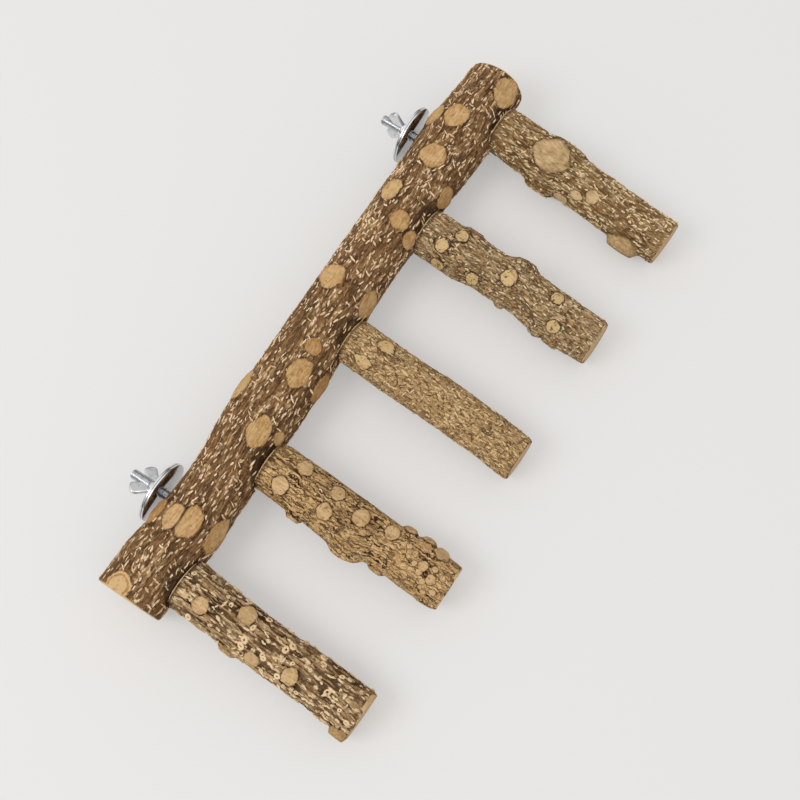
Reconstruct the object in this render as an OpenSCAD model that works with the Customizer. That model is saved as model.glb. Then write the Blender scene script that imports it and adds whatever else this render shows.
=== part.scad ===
// Bird ladder: a main branch with five perches on one side and two clamping studs on the other.
// It lies flat: perches along +X, main branch along +Y, up is +Z, millimetres.

/* [Main branch] */
// Length between the two saw cuts
main_len = 308; // [280:1:340]
// Mean radius of the branch
main_r = 15.5; // [14.5:0.1:18]
// Depth of the flat seat that each perch butts against
seat_depth = 1.2; // [0.8:0.1:2]
// Extra radius of a seat round the perch that it takes
seat_clearance = 0.5; // [0.3:0.1:1]

/* [Rows along the main branch] */
// Lower end to the middle of the lowest perch
low_perch_inset = 20; // [16:0.5:26]
// Upper end to the middle of the highest perch
high_perch_inset = 19.5; // [16:0.5:26]
// Lower end to the lower stud
low_stud_inset = 47; // [40:0.5:60]
// Upper end to the upper stud
high_stud_inset = 48; // [40:0.5:60]

/* [Perch 1, the highest] */
// Length of perch 1
perch_1_len = 100; // [70:0.5:130]
// Mean radius of perch 1
perch_1_r = 11.5; // [10:0.1:13]
// Turn of perch 1 in the ladder's plane, degrees, positive towards the upper end
perch_1_turn = -4.5; // [-10:0.5:6]
// Tilt of its sawn free end, degrees, positive facing up
perch_1_cut = 2; // [0:0.5:12]

/* [Perch 2] */
// Length of perch 2
perch_2_len = 98; // [70:0.5:130]
// Mean radius of perch 2
perch_2_r = 11.3; // [10:0.1:13]
// Turn of perch 2 in the ladder's plane, degrees
perch_2_turn = -2; // [-10:0.5:6]
// Tilt of its sawn free end, degrees, positive facing up
perch_2_cut = 4.5; // [0:0.5:12]

/* [Perch 3] */
// Length of perch 3
perch_3_len = 97; // [70:0.5:130]
// Mean radius of perch 3
perch_3_r = 10.8; // [10:0.1:13]
// Turn of perch 3 in the ladder's plane, degrees
perch_3_turn = -2.5; // [-10:0.5:6]
// Tilt of its sawn free end, degrees, positive facing up
perch_3_cut = 4; // [0:0.5:12]

/* [Perch 4] */
// Length of perch 4
perch_4_len = 99; // [70:0.5:130]
// Mean radius of perch 4
perch_4_r = 12; // [10:0.1:13.5]
// Turn of perch 4 in the ladder's plane, degrees
perch_4_turn = -1; // [-10:0.5:6]
// Tilt of its sawn free end, degrees, positive facing up
perch_4_cut = 0; // [0:0.5:12]

/* [Perch 5, the lowest] */
// Length of perch 5
perch_5_len = 97.5; // [70:0.5:130]
// Mean radius of perch 5
perch_5_r = 11.2; // [10:0.1:13]
// Turn of perch 5 in the ladder's plane, degrees
perch_5_turn = -2.5; // [-10:0.5:6]
// Tilt of its sawn free end, degrees, positive facing up
perch_5_cut = 2; // [0:0.5:12]

/* [Dowel screws] */
// Outer diameter of the wood thread
screw_d = 5; // [4:0.1:6]
// Length of the screw in the main branch
screw_in_main = 20; // [12:0.5:22]
// Length of the screw in the perch
screw_in_perch = 25; // [12:0.5:35]
// Gap between a wood thread and its pilot bore
screw_clearance = 0.05; // [0.02:0.01:0.1]

/* [Hanger bolts] */
// Outer diameter of the machine thread
stud_d = 4.9; // [3.9:0.1:5.9]
// Length of a stud outside the wood
stud_out = 20.5; // [17:0.5:26]
// Length of the wood thread inside the main branch
stud_in = 20; // [12:0.5:24]

/* [Washers] */
// Outer diameter of the washers
washer_d = 30; // [20:0.5:32]
// Thickness of one washer
washer_t = 1; // [0.8:0.1:2]
// Gap between a washer's hole and the stud
washer_clearance = 0.2; // [0.1:0.05:0.4]
// Clear gap between the wood and the upper inner washer
upper_washer_gap = 2.7; // [1:0.1:5]
// Clear gap between the wood and the lower inner washer
lower_washer_gap = 2.3; // [1:0.1:5]

/* [Wing nuts] */
// Diameter of the hub at the washer
hub_d = 9.4; // [8.5:0.1:12]
// Height of the hub
hub_h = 5; // [4:0.1:6]
// Thickness of a wing
wing_t = 1.9; // [1.2:0.1:2.5]
// Width of a wing
wing_w = 5.6; // [3:0.1:6]
// Length of a wing from the hub's middle
wing_len = 8.6; // [6:0.1:10]
// Lean of the wings away from the stud, degrees
wing_lean = 42; // [30:1:60]
// Gap between the nut's bore and the stud
nut_clearance = 0.05; // [0.02:0.01:0.1]
// Turn of the upper nut about its stud, degrees
upper_nut_turn = -80; // [-180:5:180]
// Turn of the lower nut about its stud, degrees
lower_nut_turn = 30; // [-180:5:180]

/* [Hidden] */
$fn = 64;

// Columns of a form: share of the length, shift across, shift up, radius added to the mean.
ACROSS = 1;
UP = 2;
SWELL = 3;

// Across is the perch side on the main branch, and the side of the lower end on a perch.
main_form = [[0, 0.1, 0, 0.6], [0.06, 0.7, 0, 0.6], [0.13, 3, 0, 0.3], [0.21, 2.8, 0, -0.6],
             [0.32, 1, 0, 0.7], [0.42, 0.6, 0, 0.5], [0.48, -0.4, 0, -0.2], [0.61, -1.2, 0, -0.5],
             [0.78, -0.8, 0, 0.1], [0.86, -0.6, 0, 1], [1, -0.2, 0, -0.8]];
perch_forms = [
    [[0, 0, 0, 0.2], [0.3, 0.3, 0, 0.4], [0.55, 0.2, 0, 0], [0.8, 0.4, 0, 0.1], [1, -0.2, 0, -0.1]],
    [[0, 0.6, 0, 0.6], [0.22, 0.6, 0, 0.6], [0.36, -0.4, 0, -0.4], [0.55, -1, 0, 0], [0.75, 0.5, 0, 0.5],
     [1, 0.4, 0, 0]],
    [[0, 0.1, 0, 0.3], [0.25, 0.2, 0, 0], [0.6, -0.5, 0, 0.2], [0.8, -0.3, 0, 0], [1, 0.6, 0, 0.1]],
    [[0, -0.6, 0, 0.2], [0.25, -0.2, 0, 0.4], [0.5, 1, 0, 1], [0.65, -0.3, 0, -0.8], [0.85, -0.4, 0, 0],
     [1, -0.1, 0, -0.8]],
    [[0, -0.3, 0, 0.5], [0.25, 0.1, 0, 0], [0.5, 0.5, 0, -0.1], [0.75, -0.2, 0, 0], [1, 0.1, 0, 0.2]]];

// Knobs and cut shoots: place along, degrees round from the across side, half length, half width, height.
main_knobs = [[299, 52, 8.6, 6.4, 0.6], [273, 99, 7.2, 5.7, 0.8], [270.5, 140, 7, 5, 0.8],
              [249, 91, 6.6, 6.2, 0.6], [224, 119, 6.6, 4.9, 0.8], [237, 25, 6.5, 5, 0.6],
              [212.5, 72, 5.2, 4.8, 0.6], [208.5, 35, 5, 4.2, 0.6], [171.6, 114, 7, 6.2, 0.8],
              [171, 27, 7.5, 5.5, 0.6], [138, 71, 4.2, 4, 0.4], [124, 67, 7.8, 5.2, 0.6],
              [125.5, 14, 8, 5, 0.8], [106.5, 145, 8.5, 5, 0.8], [91.5, 67, 8.2, 5.2, 0.6],
              [95, 30, 3.6, 3.4, 0.5], [40, 105, 6.6, 4.4, 1], [41.6, 79, 8.2, 4.9, 1],
              [43.7, 27, 9, 5, 1], [38.5, 145, 7, 4.2, 1.6], [58, 225, 7, 5.5, 0.3],
              [118, 305, 8, 6, 0.3], [150, 215, 7, 5.5, 0.3], [192, 310, 7, 5, 0.3],
              [240, 225, 7.5, 6, 0.3], [276, 315, 7, 6, 0.3]];
perch_knobs = [
    [[31, 83, 9.2, 7.2, 0.8], [34.8, 150, 10, 6, 1.8], [33, -20, 8, 6, 2.2], [83.5, -22, 7.5, 5, 3.4],
     [59, 58, 3.5, 3.3, 0.6], [52, 39, 3.4, 2.2, 0.5], [46, 6, 4, 2.8, 0.6]],
    [[18, 106, 3.4, 3.4, 0.9], [12.6, 63, 3.3, 3.3, 0.9], [15, 17, 3.6, 3, 1.1], [33, 29, 3.3, 3.3, 1],
     [47.5, 80, 4, 4, 0.9], [71.7, 108, 3.2, 3.2, 0.9], [77.4, 48, 3.4, 3.2, 0.9], [21, 152, 5, 4.5, 1.2],
     [50, 150, 7, 5.5, 2], [49.6, -8, 2.5, 3, 1.2], [71, -6, 3.5, 4, 0.9], [80, -12, 4, 4, 0.9]],
    [[17.7, 114, 4.2, 3.6, 0.6], [12.6, 50, 4.5, 2.8, 0.4]],
    [[16.5, 122, 4, 4, 0.9], [11.7, 61, 4.2, 4.2, 0.9], [35, 117, 3.6, 3.6, 0.9], [34.7, 71, 3.8, 3.8, 0.9],
     [49.7, 104, 4.1, 4.1, 1], [64.7, 113, 3.6, 3.6, 0.9], [70.5, 158, 3.6, 3.6, 1.7],
     [80, 160, 3.8, 3.6, 1.7], [88, 139, 4, 4, 1.2], [84, 89, 2.4, 2.4, 0.6], [90, 75, 2.4, 2.4, 0.6],
     [23, -6, 4, 4, 2.2], [51.6, -6, 8, 4.5, 2.2], [67, -4, 4, 4, 1.8], [92.8, -4, 4, 4, 0.8]],
    [[13.8, 72, 3.9, 3.9, 0.6], [32.6, 118, 4.4, 4.4, 0.7], [33.2, 0, 4.5, 3.5, 2.2],
     [45, 44, 3.8, 3.6, 0.7], [62.8, 66, 3.9, 3.9, 0.8], [93, 0, 4, 5, 2.6]]];

// A knob is flat on top out to the first share of its size and gone at the second.
knob_flat = 0.75;
knob_gone = 1.4;
// Shallow flutes along the bark: how many, how deep, and their turn in degrees per millimetre
flute_count = 5;
flute_depth = 0.2;
flute_twist = 1.5;

// Sides of a branch and rings along it
main_sides = 32;
main_rings = 72;
perch_sides = 28;
perch_rings = 25;

// Coarse thread in the wood and fine thread for the nuts
wood_pitch = 2;
wood_thread_depth = 0.7;
machine_pitch = 0.8;
machine_thread_depth = 0.3;
// Length of a screw's point
point_len = 4;
// How far a pilot bore runs past the screw's point
bore_spare = 1;
// Length of machine thread that starts inside the wood
stud_overlap = 2;
// How much the hub's radius narrows to its top
hub_taper = 1;
// Length over which the bark gives way to a tilted end
cut_zone = 15;
// How far a cut runs past the surface that it opens
cut_past = 20;
// Height of the washers' rims above the ground, at least
washer_lift = 1;
// Steps along and round the branch at which the wood under a washer is measured
probe_step = 1;
probe_turn = 5;
// Angle round the main branch of the studs, and how far to each side the wood is measured
stud_side = 180;
probe_spread = 60;

perch_lens = [perch_1_len, perch_2_len, perch_3_len, perch_4_len, perch_5_len];
perch_rs = [perch_1_r, perch_2_r, perch_3_r, perch_4_r, perch_5_r];
perch_turns = [perch_1_turn, perch_2_turn, perch_3_turn, perch_4_turn, perch_5_turn];
perch_cuts = [perch_1_cut, perch_2_cut, perch_3_cut, perch_4_cut, perch_5_cut];
perch_count = len(perch_lens);

// Perches stand evenly between the two end insets, each drilled a little off its mark.
perch_off_mark = [0, 0, 0.5, -3.5, 0];
perch_step = (main_len - low_perch_inset - high_perch_inset) / (perch_count - 1);
function perch_along(i) = main_len - high_perch_inset - (i - 1) * perch_step + perch_off_mark[i - 1];

// Smooth value of one column of a form at a share of the length.
function form_row(form, share) = max([for (k = [0 : len(form) - 2]) if (share >= form[k][0]) k]);
function ease(t) = t * t * (3 - 2 * t);
function form_at(form, share, column) =
    let (k = form_row(form, share),
         t = ease((share - form[k][0]) / (form[k + 1][0] - form[k][0])))
    form[k][column] * (1 - t) + form[k + 1][column] * t;

// Radius of a branch at a place along it and an angle round it.
function bark_r(r, form, length, along, around) =
    r + form_at(form, along / length, SWELL)
    + flute_depth * sin(flute_count * around + flute_twist * along);
function knob_share(knob, r, along, around) =
    let (turn = around - knob[1],
         d = norm([(along - knob[0]) / knob[2], r * sin(turn) / knob[3]]))
    cos(turn) <= 0 ? 0 : 1 - ease(min(1, max(0, (d - knob_flat) / (knob_gone - knob_flat))));
function knob_r(knob, r, around) = (r + knob[4]) / cos(around - knob[1]);
function raise(r, base, knobs, along, around, k = 0) =
    k == len(knobs) ? r :
    let (share = knob_share(knobs[k], base, along, around),
         raised = share == 0 ? r : r * (1 - share) + max(r, knob_r(knobs[k], base, around)) * share)
    raise(raised, base, knobs, along, around, k + 1);
function branch_r(r, form, knobs, length, along, around) =
    raise(bark_r(r, form, length, along, around), r + form_at(form, along / length, SWELL),
          knobs, along, around);

// Share of the end's tilt that a place along the branch has.
function end_share(length, along) = max(0, 1 - (length - along) / cut_zone);

// A branch from the origin along +Y, with flat ends, the far one tilted by the cut.
module branch(length, r, form, knobs, sides, rings, cut = 0) {
    points = [for (j = [0 : rings]) let (along = length * j / rings)
              for (i = [0 : sides - 1]) let (around = 360 * i / sides,
                                             reach = branch_r(r, form, knobs, length, along, around))
              [form_at(form, j / rings, ACROSS) + reach * cos(around),
               along - end_share(length, along) * tan(cut) * reach * sin(around),
               form_at(form, j / rings, UP) + reach * sin(around)]];
    skin = [for (j = [0 : rings - 1]) for (i = [0 : sides - 1])
            let (a = j * sides + i, b = j * sides + (i + 1) % sides, c = a + sides, d = b + sides)
            each [[a, c, b], [b, c, d]]];
    lower_cap = [for (i = [0 : sides - 1]) i];
    upper_cap = [for (i = [sides - 1 : -1 : 0]) rings * sides + i];
    polyhedron(points = points, faces = concat(skin, [lower_cap, upper_cap]));
}

// Seat of a perch, measured from the main branch's axis.
function seat_at(i) =
    main_r + form_at(main_form, perch_along(i) / main_len, SWELL)
    + form_at(main_form, perch_along(i) / main_len, ACROSS) - seat_depth;
function perch_end_r(i, end) = perch_rs[i - 1] + form_at(perch_forms[i - 1], end, SWELL);
// Lowest point of a perch's tilted end, measured along the perch from the main branch's axis.
function perch_tip(i) = seat_at(i) + perch_lens[i - 1] + perch_end_r(i, 1) * tan(perch_cuts[i - 1]);

// How far the main branch reaches at a place along it and an angle round it.
function main_reach(along, around) = branch_r(main_r, main_form, main_knobs, main_len, along, around);
// How far its wood stands out on the stud side, from the branch's axis.
function wood_out(along, around) =
    -form_at(main_form, along / main_len, ACROSS) - main_reach(along, around) * cos(around);
// The highest wood under a washer, so that the gap to the washer is clear all over.
function highest_wood(at) =
    max([for (along = [at - washer_d / 2 : probe_step : at + washer_d / 2])
         for (around = [stud_side - probe_spread : probe_turn : stud_side + probe_spread])
         if (norm([along - at, main_reach(along, around) * sin(around)]) <= washer_d / 2)
         wood_out(along, around)]);

// Columns of a stud: place along the main branch, then wood and inner washer from the branch's axis.
ALONG = 0;
WOOD = 1;
WASHER = 2;
function stud_at(along, gap) = [along, wood_out(along, stud_side), highest_wood(along) + gap];
upper_stud = stud_at(main_len - high_stud_inset, upper_washer_gap);
lower_stud = stud_at(low_stud_inset, lower_washer_gap);

// The ladder lies on the main branch and on the free ends of the perches.
main_swell = max([for (row = main_form) row[SWELL]]);
axis_z = max(main_r + main_swell, washer_d / 2 + washer_lift) + flute_depth;
function perch_droop(i) =
    asin((axis_z - perch_end_r(i, 1) - flute_depth) / perch_tip(i));

// The origin is in the middle of the box that the ladder fills, on the ground.
stud_reach = max(lower_stud[WOOD], upper_stud[WOOD]) + stud_out;
perch_reach = max([for (i = [1 : perch_count]) perch_tip(i) * cos(perch_turns[i - 1])
                   + perch_end_r(i, 1) * sin(abs(perch_turns[i - 1]))]);
main_x = (stud_reach - perch_reach) / 2;

stud_r = stud_d / 2;
screw_r = screw_d / 2;

// Frame of the main branch: its axis along +Y from the lower end.
module on_main() {
    translate([main_x, -main_len / 2, axis_z]) children();
}
// Frame of a perch: its axis along +X, from the axis of the main branch.
module on_perch(i) {
    on_main() translate([0, perch_along(i), 0])
        rotate([0, perch_droop(i), perch_turns[i - 1]]) children();
}
// Frame of a stud: its axis along +Z, outwards from the axis of the main branch.
module on_stud(stud) {
    on_main() translate([0, stud[ALONG], 0]) rotate([0, -90, 0]) children();
}

// Half outline of a threaded rod from one height to another, with ring threads.
function thread_outline(from, to, r, depth, pitch) =
    [for (k = [0 : floor((to - from) / pitch) - 1])
     each [[r - depth, from + k * pitch], [r, from + (k + 0.5) * pitch]]];

module main_branch() {
    color("#6a5641") difference() {
        on_main() branch(main_len, main_r, main_form, main_knobs, main_sides, main_rings);
        for (i = [1 : perch_count]) on_perch(i) rotate([0, 90, 0]) {
            translate([0, 0, seat_at(i)])
                cylinder(r = perch_end_r(i, 0) + flute_depth + seat_clearance, h = cut_past);
            translate([0, 0, seat_at(i) - screw_in_main - bore_spare])
                cylinder(r = screw_r + screw_clearance, h = screw_in_main + bore_spare + cut_past);
        }
        for (stud = [lower_stud, upper_stud]) on_stud(stud)
            translate([0, 0, stud[WOOD] - stud_in - bore_spare])
                cylinder(r = stud_r + screw_clearance, h = stud_in + bore_spare + cut_past);
    }
}

perch_colours = ["#8a7150", "#80704f", "#97805a", "#a58652", "#7d6a4e"];
module perch(i) {
    length = perch_lens[i - 1];
    color(perch_colours[i - 1]) on_perch(i) translate([seat_at(i), 0, 0]) difference() {
        rotate([0, 0, -90])
            branch(length, perch_rs[i - 1], perch_forms[i - 1], perch_knobs[i - 1],
                   perch_sides, perch_rings, perch_cuts[i - 1]);
        rotate([0, 90, 0]) translate([0, 0, -cut_past])
            cylinder(r = screw_r + screw_clearance, h = cut_past + screw_in_perch + bore_spare);
    }
}

module dowel_screw(i) {
    end = screw_in_main + screw_in_perch;
    color("#8d8f92") on_perch(i) translate([seat_at(i) - screw_in_main, 0, 0]) rotate([0, 90, 0])
        rotate_extrude() polygon(concat(
            [[0, 0]],
            thread_outline(point_len, end - point_len, screw_r, wood_thread_depth, wood_pitch),
            [[screw_r - wood_thread_depth, end - point_len], [0, end]]));
}

module hanger_bolt(stud) {
    start = stud[WOOD] - stud_in;
    turn = stud[WOOD] - stud_overlap;
    tip = stud[WOOD] + stud_out;
    color("#c9ccd0") on_stud(stud) rotate_extrude() polygon(concat(
        [[0, start]],
        thread_outline(start + point_len, turn, stud_r, wood_thread_depth, wood_pitch),
        thread_outline(turn, tip - machine_pitch, stud_r, machine_thread_depth, machine_pitch),
        [[stud_r - machine_thread_depth, tip], [0, tip]]));
}

// Place 0 is the inner washer and place 1 the outer one.
module washer(stud, place) {
    color("#d4d6d8") on_stud(stud) translate([0, 0, stud[WASHER] + place * washer_t])
        difference() {
            cylinder(d = washer_d, h = washer_t);
            translate([0, 0, -washer_t]) cylinder(r = stud_r + washer_clearance, h = 3 * washer_t);
        }
}

// One wing, leaning out from the hub in the plane of the stud.
module wing() {
    translate([0, wing_t / 2, 0]) rotate([90, 0, 0]) linear_extrude(wing_t)
        translate([0, wing_w / 2]) rotate(90 - wing_lean) {
            translate([0, -wing_w / 2]) square([wing_len, wing_w]);
            translate([wing_len, 0]) circle(d = wing_w);
        }
}

module wing_nut(stud, turn) {
    color("#d9dbdd") on_stud(stud) translate([0, 0, stud[WASHER] + 2 * washer_t])
        rotate([0, 0, 90 + turn]) difference() {
            intersection() {
                union() {
                    cylinder(d1 = hub_d, d2 = hub_d - 2 * hub_taper, h = hub_h);
                    wing();
                    mirror([1, 0, 0]) wing();
                }
                cylinder(r = hub_d + wing_len, h = 2 * wing_len + wing_w);
            }
            translate([0, 0, -hub_h]) cylinder(r = stud_r + nut_clearance, h = 4 * (hub_h + wing_len));
        }
}

main_branch();
perch(1);  // perch_1
perch(2);  // perch_2
perch(3);  // perch_3
perch(4);  // perch_4
perch(5);  // perch_5
dowel_screw(1);  // dowel_screw_1
dowel_screw(2);  // dowel_screw_2
dowel_screw(3);  // dowel_screw_3
dowel_screw(4);  // dowel_screw_4
dowel_screw(5);  // dowel_screw_5
hanger_bolt(upper_stud);  // hanger_bolt_upper
hanger_bolt(lower_stud);  // hanger_bolt_lower
washer(upper_stud, 0);  // inner_washer_upper
washer(lower_stud, 0);  // inner_washer_lower
washer(upper_stud, 1);  // outer_washer_upper
washer(lower_stud, 1);  // outer_washer_lower
wing_nut(upper_stud, upper_nut_turn);  // wing_nut_upper
wing_nut(lower_stud, lower_nut_turn);  // wing_nut_lower
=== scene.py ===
"""A bird ladder of natural branches: bark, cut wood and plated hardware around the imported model."""

import math

import bmesh
import bpy
import numpy as np
from mathutils import Matrix, Vector


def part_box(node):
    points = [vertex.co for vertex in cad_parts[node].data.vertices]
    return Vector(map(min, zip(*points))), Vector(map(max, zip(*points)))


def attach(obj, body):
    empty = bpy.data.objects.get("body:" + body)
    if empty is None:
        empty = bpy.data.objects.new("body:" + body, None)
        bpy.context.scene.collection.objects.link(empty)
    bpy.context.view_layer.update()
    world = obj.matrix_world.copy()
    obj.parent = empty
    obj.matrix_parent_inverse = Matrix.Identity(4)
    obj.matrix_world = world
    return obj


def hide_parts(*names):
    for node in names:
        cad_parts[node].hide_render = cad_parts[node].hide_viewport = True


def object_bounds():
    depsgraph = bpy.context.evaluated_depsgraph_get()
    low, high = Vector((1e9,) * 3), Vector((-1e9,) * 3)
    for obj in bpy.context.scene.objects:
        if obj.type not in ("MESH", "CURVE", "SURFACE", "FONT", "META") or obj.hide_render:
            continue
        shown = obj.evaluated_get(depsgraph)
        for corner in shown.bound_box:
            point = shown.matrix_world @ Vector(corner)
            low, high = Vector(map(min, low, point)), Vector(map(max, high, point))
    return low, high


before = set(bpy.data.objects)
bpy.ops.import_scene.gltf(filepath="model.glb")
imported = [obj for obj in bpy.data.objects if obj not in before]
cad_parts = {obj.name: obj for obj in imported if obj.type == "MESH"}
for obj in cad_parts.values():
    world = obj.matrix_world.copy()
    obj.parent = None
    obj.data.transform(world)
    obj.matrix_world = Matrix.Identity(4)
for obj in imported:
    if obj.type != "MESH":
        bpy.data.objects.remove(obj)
cad_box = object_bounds()

# Lengths below are millimetres, and meshes and objects are metres.
MM = 0.001
FULL_TURN = 2 * math.pi
STUD_ENDS = ("upper", "lower")
PERCH_NUMBERS = range(1, 6)

# The branches repeat the solids' forms. Columns of a form: share of the length, shift across, radius added.
MAIN_LENGTH = 308
MAIN_RADIUS = 15.5
MAIN_FORM = (
    (0, 0.1, 0.6), (0.06, 0.7, 0.6), (0.13, 3, 0.3), (0.21, 2.8, -0.6), (0.32, 1, 0.7), (0.42, 0.6, 0.5),
    (0.48, -0.4, -0.2), (0.61, -1.2, -0.5), (0.78, -0.8, 0.1), (0.86, -0.6, 1), (1, -0.2, -0.8),
)
PERCH_LENGTHS = (100, 98, 97, 99, 97.5)
PERCH_RADII = (11.5, 11.3, 10.8, 12, 11.2)
PERCH_FORMS = (
    ((0, 0, 0.2), (0.3, 0.3, 0.4), (0.55, 0.2, 0), (0.8, 0.4, 0.1), (1, -0.2, -0.1)),
    ((0, 0.6, 0.6), (0.22, 0.6, 0.6), (0.36, -0.4, -0.4), (0.55, -1, 0), (0.75, 0.5, 0.5), (1, 0.4, 0)),
    ((0, 0.1, 0.3), (0.25, 0.2, 0), (0.6, -0.5, 0.2), (0.8, -0.3, 0), (1, 0.6, 0.1)),
    ((0, -0.6, 0.2), (0.25, -0.2, 0.4), (0.5, 1, 1), (0.65, -0.3, -0.8), (0.85, -0.4, 0), (1, -0.1, -0.8)),
    ((0, -0.3, 0.5), (0.25, 0.1, 0), (0.5, 0.5, -0.1), (0.75, -0.2, 0), (1, 0.1, 0.2)),
)
# Lean of the sawn free ends in degrees, and how far the bark is torn back there.
PERCH_CUTS = (2, 4.5, 4, 0, 2)
PERCH_PEELS = (0.35, 0.7, 0.3, 1.2, 0.4)
MAIN_PEEL = 0.5
# Rows of faces along a branch, and faces round it.
MAIN_RINGS = 340
MAIN_SIDES = 108
PERCH_RINGS = 230
PERCH_SIDES = 160

# Knobs and cut shoots: place along, degrees round from the across side, half length, half width, height, and
# how brown the bare wood is from 0 to 1, or None where bark covers the knob. A brown below 0 is pale wood
# with a brown band. A knob of the height WOOD_ONLY hardly changes the form, and widens the bare wood of the
# knob after it.
WOOD_ONLY = -0.01
MAIN_KNOBS = (
    (299, 52, 8.6, 6.4, 0.6, 0.4), (273, 99, 7.2, 5.7, 0.8, 0.4), (270.5, 140, 7, 5, 0.8, 0.3),
    (249, 91, 6.6, 6.2, 0.6, 0.45), (224, 119, 6.6, 4.9, 0.8, 0.2), (237, 25, 6.5, 5, 0.6, 0.6),
    (212.5, 72, 5.2, 4.8, 0.6, 0.65), (208.5, 35, 5, 4.2, 0.6, 0.55), (171.6, 114, 7, 6.2, 0.8, 0.35),
    (171, 27, 7.5, 5.5, 0.6, 0.5), (138, 71, 4.2, 4, 0.4, 0.9), (124, 67, 7.8, 5.2, 0.6, 0.6),
    (125.5, 14, 8, 5, 0.8, 0.8), (106.5, 145, 8.5, 5, 0.8, 0.3), (91.5, 67, 8.2, 5.2, 0.6, 0.5),
    (95, 30, 3.6, 3.4, 0.5, 0.4), (40, 105, 6.6, 4.4, 1, 0.4), (41.6, 79, 8.2, 4.9, 1, 0.5),
    (43.7, 27, 9, 5, 1, 0.5), (38.5, 145, 7, 4.2, 1.6, 0.9), (2.5, 106, 7, 6.6, -0.8, -0.4),
    (58, 225, 7, 5.5, 0.3, 0.4), (118, 305, 8, 6, 0.3, 0.5), (150, 215, 7, 5.5, 0.3, 0.45),
    (192, 310, 7, 5, 0.3, 0.35), (240, 225, 7.5, 6, 0.3, 0.5), (276, 315, 7, 6, 0.3, 0.4),
)
PERCH_KNOBS = (
    ((31, 83, 10, 7.2, WOOD_ONLY, 0.45), (31, 83, 9.2, 7.2, 0.8, 0.45), (34.8, 150, 10, 6, 1.8, None),
     (33, -20, 8, 6, 2.2, None), (83.5, -22, 10, 8, WOOD_ONLY, 0.6), (83.5, -22, 7.5, 5, 3.4, 0.6),
     (59, 58, 3.5, 3.3, 0.6, 0.25), (52, 39, 3.4, 2.2, 0.5, 0.1), (46, 6, 4, 2.8, 0.6, 0.1)),
    ((18, 106, 3.4, 3.4, 0.9, 0.2), (12.6, 63, 3.3, 3.3, 0.9, 0.1), (15, 17, 3.6, 3, 1.1, 0.2),
     (33, 29, 3.3, 3.3, 1, 0.2), (47.5, 80, 4, 4, 0.9, 0.1), (71.7, 108, 3.2, 3.2, 0.9, 0.2),
     (77.4, 48, 3.4, 3.2, 0.9, 0.2), (21, 152, 5, 4.5, 1.2, None), (50, 150, 7, 5.5, 2, None),
     (49.6, -8, 2.5, 3, 1.2, None), (71, -6, 3.5, 4, 0.9, None), (80, -12, 4, 4, 0.9, None)),
    ((17.7, 114, 4.2, 3.6, 0.6, 0.3), (12.6, 50, 4.5, 2.8, 0.4, 0.1)),
    ((16.5, 122, 4, 4, 0.9, 0.4), (11.7, 61, 4.2, 4.2, 0.9, 0.3), (35, 117, 3.6, 3.6, 0.9, 0.5),
     (34.7, 71, 3.8, 3.8, 0.9, 0.4), (49.7, 104, 4.1, 4.1, 1, 0.5), (64.7, 113, 3.6, 3.6, 0.9, 0.4),
     (70.5, 158, 3.6, 3.6, 1.7, 0.5), (80, 160, 3.8, 3.6, 1.7, 0.6), (88, 139, 4, 4, 1.2, 0.5),
     (84, 89, 2.4, 2.4, 0.6, 0.4), (90, 75, 2.4, 2.4, 0.6, 0.4), (23, -6, 4, 4, 2.2, 0.5),
     (51.6, -6, 8, 4.5, 2.2, None), (67, -4, 4, 4, 1.8, 0.5), (92.8, -4, 4, 4, 0.8, None),
     (78.3, 102, 1.5, 1.5, 0.3, 0.5), (89.2, 98, 1.6, 1.5, 0.3, 0.4), (83.7, 74, 1.6, 1.6, 0.3, 0.5),
     (90, 41, 1.6, 1.5, 0.3, 0.4), (93.6, 54, 1.6, 1.6, 0.3, 0.3), (94, 92, 1.4, 1.4, 0.3, 0.5),
     (87.2, 61, 1.5, 1.4, 0.3, 0.5), (74.2, 110, 1.5, 1.4, 0.3, 0.5), (80, 84, 1.3, 1.3, 0.3, 0.4)),
    ((13.8, 72, 3.9, 3.9, 0.6, 0.4), (32.6, 118, 4.4, 4.4, 0.7, 0.4), (33.2, 0, 4.5, 3.5, 2.2, 0.5),
     (45, 44, 3.8, 3.6, 0.7, 0.4), (62.8, 66, 3.9, 3.9, 0.8, 0.3), (93, 0, 5, 6.5, WOOD_ONLY, 0.8),
     (93, 0, 4, 5, 2.6, 0.8), (97.5, 128, 2.4, 6.5, -0.6, 0)),
)
# A drilled hole where a stud goes into the bark, in the columns of a knob after the place along.
STUD_HOLE = (180, 3.3, 3.3, -1.5, None)
# Dark patches of the perches: place along, degrees round, half length, half width, and how dark.
# Those at 150 to 165 degrees round are painted shade on the side away from the light; the rest are stains.
PERCH_STAINS_AND_SHADE = (
    ((22, 150, 12, 4, 0.35), (60, 160, 30, 3.5, 0.3)),
    ((22, 92, 3, 3, 0.45), (52, 152, 8, 4, 0.5), (40, 165, 30, 3, 0.3), (28, 62, 3, 3, 0.35)),
    ((45, 152, 9, 5, 0.55), (75, 160, 14, 4, 0.5), (77, 84, 5, 3, 0.4), (24, 98, 5, 3, 0.4)),
    ((44, 84, 6, 3.5, 0.45), (57, 98, 5, 3, 0.5), (28, 112, 4, 3, 0.4), (96, 150, 4, 5, 0.4),
     (60, 160, 30, 3, 0.3)),
    ((18, 150, 14, 4, 0.45), (45, 155, 20, 4, 0.35), (85, 150, 10, 4, 0.35)),
)

# A knob is flat on top out to the first share of its size and gone at the last. Those with a height between
# the two dome limits are rounder.
KNOB_FLAT = 0.82
DOME_FLAT = 0.6
KNOB_GONE = 1.28
DOME_LOW = 1.5
DOME_HIGH = 2.5
# How uneven a knob's outline is.
KNOB_WOBBLE = 0.03
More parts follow.
